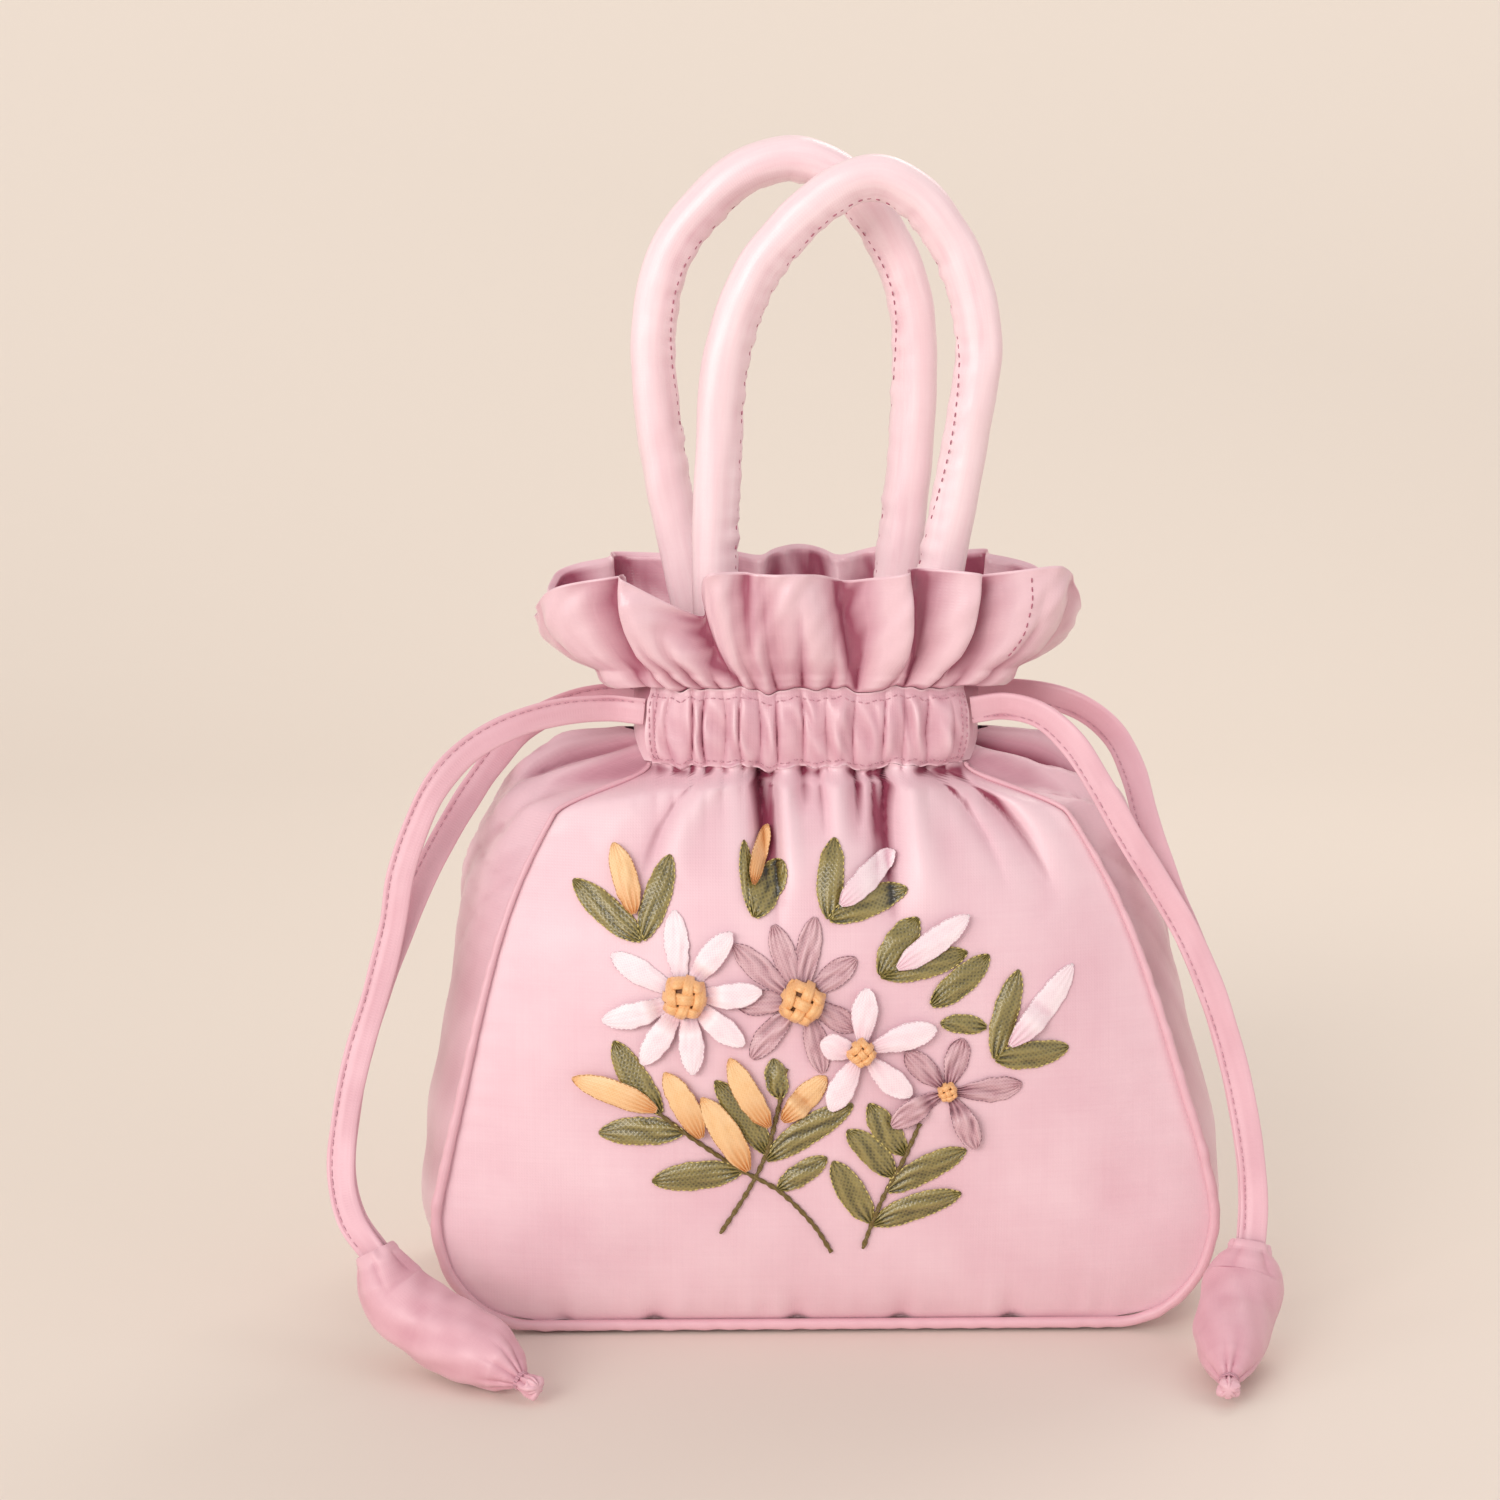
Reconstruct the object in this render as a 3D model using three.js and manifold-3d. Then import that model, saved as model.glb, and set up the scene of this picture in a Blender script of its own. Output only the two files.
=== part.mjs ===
// Reticule: a small drawstring handbag of pink satin with a spray of ribbon embroidery.
// Millimetres, +Z up. The bag stands on its base at z = 0, its front faces -Y, and the origin
// is under the middle of the base.
import * as THREE from 'three';
import { mergeVertices } from 'three/addons/utils/BufferGeometryUtils.js';
import Module from 'manifold-3d';

// Driving dimensions: the body
const bodyHeight = 141.5;
const bodyHalfWidth = 103.5;
const seamHalfWidth = 96.5;
const seamHalfDepth = 40;
const bellySwell = 12;
const cornerWidth = 24;
const cornerHeight = 27;
const shoulderRise = 7;
const bodyLean = 4;
const cloth = 2;
const clearance = 0.3;
const pipingRadius = 1.5;

// Driving dimensions: the neck, the frill and the gathered casings
const neckHalfWidth = 44;
const neckHalfDepth = 22;
const casingHeight = 19;
const casingThickness = 2.6;
const casingRipple = 0.6;
const frillHeight = 30;
const frillHalfWidth = 66;
const frillHalfDepth = 33;

// Driving dimensions: handles, drawstring tapes and pods
const handleRadius = 5.7;
const handleRise = 138;
const handleSpan = 64;
const tapeWidth = 7;
const tapeThickness = 2.2;
const podRadius = 9.3;

// Driving dimensions: the embroidery
const ribbonWidth = 7;
const ribbonThickness = 1;
const ribbonLift = 0.6;
const ribbonArch = 0.4;
const stemWidth = 1.6;
const stemThickness = 0.8;
const petalReach = 20;
const knotRadius = 5.5;

// Upper body, from the corner up: the height is a share of bodyHeight, the seam of
// seamHalfWidth, the middle of bodyHalfWidth, the rise of shoulderRise, the depth of
// seamHalfDepth and the swell of bellySwell.
const profile = [
  { height: 0.318, seam: 0.972, middle: 0.990, rise: 0.00, depth: 0.995, swell: 0.92 },
  { height: 0.438, seam: 0.925, middle: 0.957, rise: 0.00, depth: 0.975, swell: 1.00 },
  { height: 0.580, seam: 0.870, middle: 0.912, rise: 0.00, depth: 0.925, swell: 1.05 },
  { height: 0.707, seam: 0.813, middle: 0.882, rise: 0.00, depth: 0.855, swell: 1.04 },
  { height: 0.784, seam: 0.769, middle: 0.865, rise: 0.00, depth: 0.800, swell: 0.96 },
  { height: 0.855, seam: 0.718, middle: 0.828, rise: 0.02, depth: 0.740, swell: 0.80 },
  { height: 0.919, seam: 0.663, middle: 0.768, rise: 0.15, depth: 0.675, swell: 0.54 },
  { height: 0.965, seam: 0.620, middle: 0.685, rise: 0.50, depth: 0.620, swell: 0.30 },
  { height: 0.989, seam: 0.560, middle: 0.590, rise: 0.85, depth: 0.585, swell: 0.15 },
  { height: 1.000, seam: 0.487, middle: 0.445, rise: 1.00, depth: 0.565, swell: 0.07 },
];
const cornerAngles = [0, 25, 45, 66, 90];
const cornerSwells = [0, 0.16, 0.40, 0.62, 0.80];

// Folds that fan down from the neck: the place across is a share of the half width at the
// neck, the lean is how far it wanders on the way down, the width is a share too, the depth is
// in shares of bellySwell (inward is positive) and the reach is a share of bodyHeight.
const folds = [
  { place: -0.80, lean: -0.10, width: 0.09, depth: 0.20, reach: 0.16 },
  { place: -0.52, lean: -0.12, width: 0.08, depth: 0.16, reach: 0.22 },
  { place: -0.26, lean: -0.02, width: 0.07, depth: 0.26, reach: 0.26 },
  { place: -0.06, lean: 0.00, width: 0.08, depth: 0.20, reach: 0.40 },
  { place: 0.24, lean: 0.05, width: 0.08, depth: -0.14, reach: 0.30 },
  { place: 0.50, lean: 0.22, width: 0.08, depth: 0.26, reach: 0.34 },
  { place: 0.76, lean: 0.12, width: 0.08, depth: -0.16, reach: 0.26 },
];

// A closed mesh geometry whose faces point outward, from points and triangles.
function closedGeometry(points, triangles) {
  let volume = 0;
  for (let i = 0; i < triangles.length; i += 3) {
    const [a, b, c] = [points[triangles[i]], points[triangles[i + 1]], points[triangles[i + 2]]];
    volume += a.dot(new THREE.Vector3().crossVectors(b, c));
  }
  const order = volume < 0 ? triangles.slice().reverse() : triangles;
  const geometry = new THREE.BufferGeometry();
  geometry.setFromPoints(points);
  geometry.setIndex(order);
  return geometry;
}

// A solid between two grids of points, outer and inner, which closes its free edges. Where
// wrap is true the last column joins the first.
function sheetSolid(outer, inner, wrap = false) {
  const rows = outer.length;
  const columns = outer[0].length;
  const points = [...outer.flat(), ...inner.flat()];
  const top = (row, column) => row * columns + (column % columns);
  const under = (row, column) => rows * columns + top(row, column);
  const triangles = [];
  const quad = (a, b, c, d) => triangles.push(a, b, c, a, c, d);
  const lastColumn = wrap ? columns : columns - 1;
  for (let row = 0; row < rows - 1; row += 1) {
    for (let column = 0; column < lastColumn; column += 1) {
      quad(top(row, column), top(row, column + 1), top(row + 1, column + 1), top(row + 1, column));
      quad(under(row, column), under(row + 1, column),
        under(row + 1, column + 1), under(row, column + 1));
    }
  }
  for (let column = 0; column < lastColumn; column += 1) {
    quad(top(0, column), under(0, column), under(0, column + 1), top(0, column + 1));
    const end = rows - 1;
    quad(top(end, column), top(end, column + 1), under(end, column + 1), under(end, column));
  }
  for (let row = 0; row < rows - 1 && !wrap; row += 1) {
    quad(top(row, 0), top(row + 1, 0), under(row + 1, 0), under(row, 0));
    const end = columns - 1;
    quad(top(row, end), under(row, end), under(row + 1, end), top(row + 1, end));
  }
  return closedGeometry(points, triangles);
}

// A solid through rings of points, with a flat fan at each end.
function ringSolid(rings) {
  const sides = rings[0].length;
  const points = rings.flat();
  const triangles = [];
  const place = (ring, side) => ring * sides + (side % sides);
  for (let ring = 0; ring < rings.length - 1; ring += 1) {
    for (let side = 0; side < sides; side += 1) {
      triangles.push(place(ring, side), place(ring, side + 1), place(ring + 1, side + 1));
      triangles.push(place(ring, side), place(ring + 1, side + 1), place(ring + 1, side));
    }
  }
  const last = rings.length - 1;
  for (let side = 1; side < sides - 1; side += 1) {
    triangles.push(place(0, 0), place(0, side + 1), place(0, side));
    triangles.push(place(last, 0), place(last, side), place(last, side + 1));
  }
  return closedGeometry(points, triangles);
}

// A named mesh in one colour of cloth.
function clothMesh(name, geometry, color, roughness = 0.55) {
  const material = new THREE.MeshStandardMaterial({ color, roughness, metalness: 0 });
  geometry.computeVertexNormals();
  const mesh = new THREE.Mesh(geometry, material);
  mesh.name = name;
  return mesh;
}

const satinPink = 0xe8afc1;
const palePink = 0xf2bbcb;
const tapePink = 0xdf9fb4;
const oliveGreen = 0x6e7340;
const apricot = 0xe8b36a;
const palePetal = 0xfbe9f0;
const mauvePetal = 0xb98a9c;

// The rows of the body, from the base up. The seam sits as far above the base as the piping
// under it needs.
const pipingSeat = (pipingRadius + clearance) / Math.SQRT2;
const seamBase = pipingSeat + pipingRadius + clearance;
const seamFlat = seamHalfWidth - cornerWidth;

function cornerRow(degrees, index) {
  const angle = THREE.MathUtils.degToRad(degrees);
  const up = 1 - Math.cos(angle);
  const middleFlat = seamFlat + clearance;
  return {
    z: seamBase + cornerHeight * up,
    seamX: seamFlat + cornerWidth * Math.sin(angle),
    middleX: middleFlat + (bodyHalfWidth - middleFlat) * Math.sin(angle),
    middleZ: (seamBase + cornerHeight) * up,
    depth: seamHalfDepth * (0.95 + 0.05 * Math.sin(angle)),
    swell: bellySwell * cornerSwells[index],
    centre: 0,
  };
}

function upperRow(share) {
  const z = bodyHeight * share.height;
  return {
    z,
    seamX: seamHalfWidth * share.seam,
    middleX: bodyHalfWidth * share.middle,
    middleZ: z + shoulderRise * share.rise,
    depth: seamHalfDepth * share.depth,
    swell: bellySwell * share.swell,
    centre: -bodyLean * (share.height - profile[0].height) / (1 - profile[0].height),
  };
}

const bodyRows = [...cornerAngles.map(cornerRow), ...profile.map(upperRow)];
const neckCentre = bodyRows[bodyRows.length - 1].centre;

// How far the folds push a panel inward, at a place across and a height.
function foldDepth(across, z) {
  const below = 1 - z / bodyHeight;
  let depth = 0;
  for (const fold of folds) {
    const fade = Math.max(0, 1 - below / fold.reach);
    const off = (across - fold.place - fold.lean * below / fold.reach) / fold.width;
    depth += bellySwell * fold.depth * Math.sqrt(fade) * Math.exp(-off * off);
  }
  return depth;
}

// The outer grid of a panel, front (side -1) or back (side +1).
function panelGrid(side, columns, foldShare) {
  return bodyRows.map((row) => {
    const line = [];
    for (let column = 0; column <= columns; column += 1) {
      const across = 2 * column / columns - 1;
      const swell = row.swell * (1 - Math.abs(across) ** 2.5);
      const seamFade = 1 - across ** 6;
      const depth = row.depth + swell - foldShare * foldDepth(across, row.z) * seamFade;
      line.push(new THREE.Vector3(row.centre + across * row.seamX, side * depth, row.z));
    }
    return line;
  });
}

function panelSolid(grid, side) {
  const inner = grid.map((line) => line.map((point) => point.clone().setY(point.y - side * cloth)));
  return sheetSolid(grid, inner);
}

const frontGrid = panelGrid(-1, 18, 1);

// A point on the front panel's outer face, lifted off it along -Y.
function onFront(x, z, lift) {
  const last = frontGrid.length - 1;
  let row = 0;
  while (row < last - 1 && frontGrid[row + 1][0].z < z) row += 1;
  const depthAlong = (line) => {
    let column = 0;
    while (column < line.length - 2 && line[column + 1].x < x) column += 1;
    const share = (x - line[column].x) / (line[column + 1].x - line[column].x);
    return THREE.MathUtils.lerp(line[column].y, line[column + 1].y, share);
  };
  const [low, high] = [frontGrid[row], frontGrid[row + 1]];
  const share = (z - low[0].z) / (high[0].z - low[0].z);
  return new THREE.Vector3(x, THREE.MathUtils.lerp(depthAlong(low), depthAlong(high), share) - lift, z);
}

// The stations of the side band and the pipings: down the left, along the base, up the right.
// Each holds the seam and the middle of the band, and the direction out of the bag.
function bandStations() {
  const flatShares = [-0.5, 0, 0.5];
  const base = bodyRows[0];
  const flat = flatShares.map((share) => ({ ...base, seamX: share * base.seamX, middleX: share * base.middleX }));
  const left = bodyRows.slice().reverse().map((row) => ({ ...row, seamX: -row.seamX, middleX: -row.middleX }));
  const stations = [...left, ...flat, ...bodyRows].map((row) => ({
    seam: new THREE.Vector3(row.centre + row.seamX, 0, row.z),
    middle: new THREE.Vector3(row.centre + row.middleX, 0, row.middleZ),
    depth: row.depth,
  }));
  stations.forEach((station, index) => {
    const before = stations[Math.max(0, index - 1)].seam;
    const after = stations[Math.min(stations.length - 1, index + 1)].seam;
    const along = after.clone().sub(before).normalize();
    station.outward = new THREE.Vector3(along.z, 0, -along.x);
  });
  return stations;
}

const stations = bandStations();

// The side band bulges from seam to seam, and lies flat on the base.
function gussetSolid() {
  const across = [-1, -0.72, -0.4, 0, 0.4, 0.72, 1];
  const outer = stations.map(({ seam, middle, depth }) => across.map((place) => {
    const onBase = middle.z === 0 && Math.abs(place) < 0.73;
    const bulge = onBase ? 1 : 1 - Math.abs(place) ** 2.2;
    const point = seam.clone().lerp(middle, bulge);
    return point.setY(place * (depth - cloth - clearance));
  }));
  const inner = outer.map((line, index) => line.map((point) => (
    point.clone().addScaledVector(stations[index].outward, -cloth))));
  return sheetSolid(outer, inner);
}

// Covered cord along a seam, seated outside the corner of panel and band.
function pipingSolid(side) {
  const sides = 6;
  const forward = new THREE.Vector3(0, side, 0);
  const rings = stations.map(({ seam, depth, outward }) => {
    const centre = seam.clone().setY(side * depth);
    centre.addScaledVector(outward, pipingSeat).addScaledVector(forward, pipingSeat);
    const ring = [];
    for (let corner = 0; corner < sides; corner += 1) {
      const angle = 2 * Math.PI * corner / sides;
      ring.push(centre.clone()
        .addScaledVector(outward, pipingRadius * Math.cos(angle))
        .addScaledVector(forward, pipingRadius * Math.sin(angle)));
    }
    return ring;
  });
  return ringSolid(rings);
}

// A point of a rounded oblong about the neck, with its outward direction.
function neckPoint(angle, halfWidth, halfDepth, z) {
  const power = (value) => Math.sign(value) * Math.abs(value) ** (2 / 3);
  const [across, deep] = [power(Math.cos(angle)), power(Math.sin(angle))];
  const point = new THREE.Vector3(neckCentre + halfWidth * across, halfDepth * deep, z);
  const outward = new THREE.Vector3(
    Math.sign(across) * across ** 2 / halfWidth, Math.sign(deep) * deep ** 2 / halfDepth, 0);
  return { point, outward: outward.normalize() };
}

// Folds of the frill round the neck: the angle in degrees from +X, how far the fold goes in as
// a share of the flare, its width in degrees and how much it lowers the rim as a share of
// frillHeight.
const frillFolds = [
  { angle: 12, inward: -0.10, width: 12, drop: 0.42 },
  { angle: 62, inward: 0.34, width: 8, drop: 0.05 },
  { angle: 96, inward: 0.30, width: 8, drop: 0.06 },
  { angle: 128, inward: 0.30, width: 8, drop: 0.04 },
  { angle: 168, inward: -0.06, width: 12, drop: 0.36 },
  { angle: 206, inward: 0.28, width: 7, drop: 0.04 },
  { angle: 233, inward: 0.66, width: 7, drop: 0.44 },
  { angle: 272, inward: 0.62, width: 7, drop: 0.08 },
  { angle: 297, inward: 0.40, width: 6, drop: 0.00 },
  { angle: 322, inward: 0.30, width: 6, drop: 0.06 },
];

const neckBottom = bodyHeight + clearance;

function neckRuffleSolid() {
  const around = 48;
  const frillStart = neckBottom + casingHeight + 3 * clearance;
  const levels = [
    { neck: 0, frill: 0, flare: 0 },
    { neck: 0.5, frill: 0, flare: 0 },
    { neck: 1, frill: 0, flare: 0 },
    { neck: 1, frill: 0.16, flare: 0.40 },
    { neck: 1, frill: 0.52, flare: 0.76 },
    { neck: 1, frill: 1, flare: 1 },
  ];
  const outer = [];
  const inner = [];
  for (const level of levels) {
    const outerLine = [];
    const innerLine = [];
    for (let column = 0; column < around; column += 1) {
      const angle = 2 * Math.PI * column / around;
      const degrees = 360 * column / around;
      let inward = 0;
      let drop = 0;
      for (const fold of frillFolds) {
        const apart = Math.abs(((degrees - fold.angle + 540) % 360) - 180) / fold.width;
        inward += fold.inward * Math.exp(-apart * apart);
        drop += fold.drop * Math.exp(-apart * apart * 0.5);
      }
      const flare = level.flare * (1 - inward);
      const side = Math.abs(Math.cos(angle)) ** 3;
      const low = neckBottom + side * shoulderRise;
      const z = THREE.MathUtils.lerp(low, frillStart, level.neck) + frillHeight * (1 - drop) * level.frill;
      const { point, outward } = neckPoint(
        angle,
        neckHalfWidth + (frillHalfWidth - neckHalfWidth) * flare,
        neckHalfDepth + (frillHalfDepth - neckHalfDepth) * flare,
        z,
      );
      outerLine.push(point);
      innerLine.push(point.clone().addScaledVector(outward, -cloth));
    }
    outer.push(outerLine);
    inner.push(innerLine);
  }
  return sheetSolid(outer, inner, true);
}

// A gathered strip round half of the neck, front (side -1) or back (side +1).
const casingStart = THREE.MathUtils.degToRad(34);

function casingSolid(side) {
  const columns = 20;
  const bottom = neckBottom + clearance;
  const heights = [bottom, bottom + casingHeight * 0.16, bottom + casingHeight * 0.84, bottom + casingHeight];
  const shares = [0.55, 1, 1, 0.55];
  const outer = [];
  const inner = [];
  heights.forEach((z, row) => {
    const outerLine = [];
    const innerLine = [];
    for (let column = 0; column <= columns; column += 1) {
      const angle = side * THREE.MathUtils.lerp(casingStart, Math.PI - casingStart, column / columns);
      const wave = casingRipple * Math.cos(Math.PI * column);
      const { point, outward } = neckPoint(angle, neckHalfWidth, neckHalfDepth, z);
      innerLine.push(point.clone().addScaledVector(outward, clearance));
      outerLine.push(point.clone().addScaledVector(outward, clearance + casingThickness * shares[row] + wave));
    }
    outer.push(outerLine);
    inner.push(innerLine);
  });
  return sheetSolid(outer, inner);
}

// How far the handles stand towards the wall of the neck, as a share of the room there.
const handleSeat = 0.78;

// Centre lines of the handles: across is a share of handleSpan from the middle of the neck and
// up is a share of handleRise above the foot.
const frontHandleRoute = [
  [-0.330, 0.000], [-0.367, 0.240], [-0.354, 0.500], [-0.322, 0.680], [-0.217, 0.820], [-0.057, 0.915],
  [0.108, 0.978], [0.258, 1.000], [0.423, 0.965], [0.563, 0.880], [0.643, 0.780], [0.668, 0.690],
  [0.638, 0.580], [0.578, 0.420], [0.508, 0.240], [0.460, 0.000],
];
const rearHandleRoute = [
  [-0.440, 0.000], [-0.452, 0.200], [-0.557, 0.450], [-0.607, 0.640], [-0.592, 0.770], [-0.527, 0.870],
  [-0.402, 0.950], [-0.247, 1.010], [-0.062, 1.035], [0.118, 1.010], [0.258, 0.940], [0.368, 0.850],
  [0.428, 0.760], [0.443, 0.640], [0.423, 0.460], [0.368, 0.240], [0.320, 0.000],
];

function handleSolid(route, side) {
  const y = side * handleSeat * (neckHalfDepth - cloth - handleRadius);
  const foot = neckBottom + casingHeight * 0.4;
  const points = route.map(([across, up]) => (
    new THREE.Vector3(neckCentre + across * handleSpan, y, foot + up * handleRise)));
  const path = new THREE.CatmullRomCurve3(points);
  const section = new THREE.Shape().absarc(0, 0, handleRadius, 0, 2 * Math.PI, false);
  const solid = new THREE.ExtrudeGeometry(section, {
    steps: 21, curveSegments: 5, extrudePath: path, bevelEnabled: false,
  });
  return solid;
}

// Routes of the drawstring tapes, from the end of a casing to the top of a pod.
const leftFrontRoute = [
  [-45.1, -15.1, 154.6], [-54.5, -14.4, 155.4], [-67.0, -19.0, 155.0], [-79.0, -23.5, 152.0],
  [-89.0, -27.0, 146.5], [-96.5, -30.0, 138.5], [-101.5, -32.0, 128.5], [-105.5, -34.0, 116.5],
  [-107.5, -36.0, 104.0], [-111.5, -39.5, 88.0], [-116.0, -43.0, 73.0], [-119.0, -47.0, 58.0],
  [-119.8, -51.0, 45.0], [-117.0, -56.0, 35.0], [-110.8, -61.4, 27.6],
];
const leftBackRoute = [
  [-45.1, 15.1, 153.6], [-54.5, 14.4, 154.3], [-66.0, 10.0, 152.5], [-76.5, 4.0, 147.5],
  [-84.5, -4.0, 139.5], [-91.5, -13.5, 130.0], [-97.8, -22.0, 119.5], [-103.3, -28.0, 108.5],
  [-107.8, -34.0, 97.0], [-111.7, -36.3, 87.0], [-116.0, -39.8, 73.0], [-119.0, -43.8, 58.0],
  [-119.8, -47.8, 45.0], [-117.0, -52.8, 35.0], [-110.8, -58.3, 27.6],
];
const rightFrontRoute = [
  [37.2, -15.1, 154.8], [46.0, -15.6, 155.8], [54.5, -20.5, 154.0], [62.0, -25.5, 147.5],
  [68.5, -29.0, 137.5], [75.0, -32.0, 126.0], [82.5, -34.5, 114.0], [89.5, -37.0, 102.0],
  [95.0, -39.5, 89.5], [99.5, -42.0, 76.0], [102.8, -45.0, 62.0], [105.0, -48.0, 48.0],
  [105.6, -51.0, 36.0], [104.6, -54.4, 25.8],
];
const rightBackRoute = [
  [37.2, 15.1, 154.0], [47.0, 13.8, 155.4], [58.5, 9.0, 155.0], [68.0, 5.0, 152.0],
  [75.0, -2.0, 146.5], [78.8, -11.5, 138.5], [81.0, -21.5, 128.0], [84.8, -29.0, 115.0],
  [89.9, -33.6, 102.0], [95.0, -36.3, 89.5], [99.5, -38.8, 76.0], [102.8, -41.8, 62.0],
  [105.0, -44.8, 48.0], [105.6, -47.8, 36.0], [104.6, -51.2, 25.8],
];

// A path whose frames keep the broad side of a tape square to the Y axis, so it never twists.
class TapePath extends THREE.CatmullRomCurve3 {
  computeFrenetFrames(segments) {
    const frames = { tangents: [], normals: [], binormals: [] };
    for (let index = 0; index <= segments; index += 1) {
      const tangent = this.getTangentAt(index / segments);
      const broad = tangent.clone().cross(new THREE.Vector3(0, 1, 0)).normalize();
      frames.tangents.push(tangent);
      frames.normals.push(broad);
      frames.binormals.push(tangent.clone().cross(broad).normalize());
    }
    return frames;
  }
}

// A flat tape along a route, its broad face towards the front.
function tapeSolid(route) {
  const extrudePath = new TapePath(route.map((place) => new THREE.Vector3(...place)));
  const steps = Math.round(extrudePath.getLength() / (2 * tapeWidth));
  const [wide, thick] = [tapeWidth / 2, tapeThickness / 2];
  const corners = [
    [wide, thick * 0.4], [wide * 0.86, thick], [-wide * 0.86, thick], [-wide, thick * 0.4],
    [-wide, -thick * 0.4], [-wide * 0.86, -thick], [wide * 0.86, -thick], [wide, -thick * 0.4],
  ];
  const section = new THREE.Shape(corners.map(([x, y]) => new THREE.Vector2(x, y)));
  return new THREE.ExtrudeGeometry(section, { steps, extrudePath, bevelEnabled: false });
}

// Axes of the pods, from the tapes to the tied tip on the surface.
const leftPodRoute = [
  [-110.0, -60.3, 26.6], [-105.5, -62.5, 18.0], [-95.5, -68.0, 11.6], [-83.0, -78.5, 8.4],
  [-73.5, -87.5, 4.6], [-70.0, -91.0, 4.4],
];
const rightPodRoute = [
  [104.3, -53.2, 24.6], [102.5, -56.5, 17.0], [98.6, -66.5, 11.4], [95.5, -80.0, 8.4],
  [93.6, -91.0, 4.6], [92.9, -95.5, 4.4],
];

// A stuffed pod: each ring is a share of podRadius at a share of the way along the axis. The
// last rings are the tie and the small frill past it.
const podRings = [
  { along: 0, radius: 0.42 },
  { along: 0.08, radius: 0.72 },
  { along: 0.20, radius: 0.96 },
  { along: 0.38, radius: 1.00 },
  { along: 0.56, radius: 0.94 },
  { along: 0.72, radius: 0.74 },
  { along: 0.84, radius: 0.42 },
  { along: 0.90, radius: 0.28 },
  { along: 1, radius: 0.50 },
];

function podSolid(route) {
  const sides = 10;
  const path = new THREE.CatmullRomCurve3(route.map((place) => new THREE.Vector3(...place)));
  const rings = podRings.map(({ along, radius }) => {
    const centre = path.getPointAt(along);
    const tangent = path.getTangentAt(along);
    const aside = new THREE.Vector3(0, 0, 1).cross(tangent).normalize();
    const up = tangent.clone().cross(aside).normalize();
    const ring = [];
    for (let side = 0; side < sides; side += 1) {
      const angle = 2 * Math.PI * side / sides;
      const point = centre.clone()
        .addScaledVector(aside, podRadius * radius * Math.cos(angle))
        .addScaledVector(up, podRadius * radius * Math.sin(angle));
      ring.push(point.setZ(Math.max(point.z, clearance / 3)));
    }
    return ring;
  });
  return ringSolid(rings);
}

// One flat ribbon stitch on the front panel. Its root and tip are shares of seamHalfWidth and
// bodyHeight, its width a share of ribbonWidth, and it climbs over its neighbours by a number
// of layers at the root and at the tip.
const layerStep = ribbonThickness + ribbonArch + clearance;
const climbFrom = 0.30;
const climbLength = 0.20;
const ribbonShape = [
  { along: 0, half: 0.30 },
  { along: 0.32, half: 0.96 },
  { along: 0.68, half: 0.90 },
  { along: 1, half: 0.12 },
];

function ribbonSolid({ root, tip, width, climb = [0, 0] }, shape = ribbonShape) {
  const from = new THREE.Vector2(root[0] * seamHalfWidth, root[1] * bodyHeight);
  const to = new THREE.Vector2(tip[0] * seamHalfWidth, tip[1] * bodyHeight);
  const along = to.clone().sub(from).normalize();
  const aside = new THREE.Vector2(-along.y, along.x);
  const outer = [];
  const inner = [];
  for (const station of shape) {
    const centre = from.clone().lerp(to, station.along);
    const half = station.half * width * ribbonWidth / 2;
    const climbed = THREE.MathUtils.clamp((station.along - climbFrom) / climbLength, 0, 1);
    const rise = layerStep * THREE.MathUtils.lerp(climb[0], climb[1], climbed);
    const outerLine = [];
    const innerLine = [];
    for (const place of [-1, 0, 1]) {
      const x = centre.x + aside.x * half * place;
      const z = centre.y + aside.y * half * place;
      const arch = place === 0 ? ribbonArch : 0;
      innerLine.push(onFront(x, z, ribbonLift + rise));
      outerLine.push(onFront(x, z, ribbonLift + ribbonThickness + arch + rise));
    }
    outer.push(outerLine);
    inner.push(innerLine);
  }
  return sheetSolid(outer, inner);
}

// A narrow stem through points given as shares, like a ribbon's.
function stemSolid(places) {
  const points = places.map(([x, z]) => new THREE.Vector2(x * seamHalfWidth, z * bodyHeight));
  const outer = [];
  const inner = [];
  points.forEach((point, index) => {
    const before = points[Math.max(0, index - 1)];
    const after = points[Math.min(points.length - 1, index + 1)];
    const along = after.clone().sub(before).normalize();
    const edges = [-1, 1].map((side) => [
      point.x - side * along.y * stemWidth / 2, point.y + side * along.x * stemWidth / 2,
    ]);
    inner.push(edges.map(([x, z]) => onFront(x, z, ribbonLift + ribbonThickness - stemThickness)));
    outer.push(edges.map(([x, z]) => onFront(x, z, ribbonLift + stemThickness)));
  });
  return sheetSolid(outer, inner);
}

const wasm = await Module();
wasm.setup();

function toManifold(geometry) {
  const bare = geometry.clone();
  bare.deleteAttribute('normal');
  bare.deleteAttribute('uv');
  const merged = mergeVertices(bare, 1e-4);
  return new wasm.Manifold(new wasm.Mesh({
    numProp: 3,
    vertProperties: new Float32Array(merged.attributes.position.array),
    triVerts: new Uint32Array(merged.index.array),
  }));
}

// Several overlapping solids as one.
function joined(geometries) {
  let whole = toManifold(geometries[0]);
  for (const geometry of geometries.slice(1)) whole = whole.add(toManifold(geometry));
  const result = whole.getMesh();
  const geometry = new THREE.BufferGeometry();
  geometry.setAttribute('position', new THREE.BufferAttribute(result.vertProperties.slice(), 3));
  geometry.setIndex([...result.triVerts]);
  return geometry;
}

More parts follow.
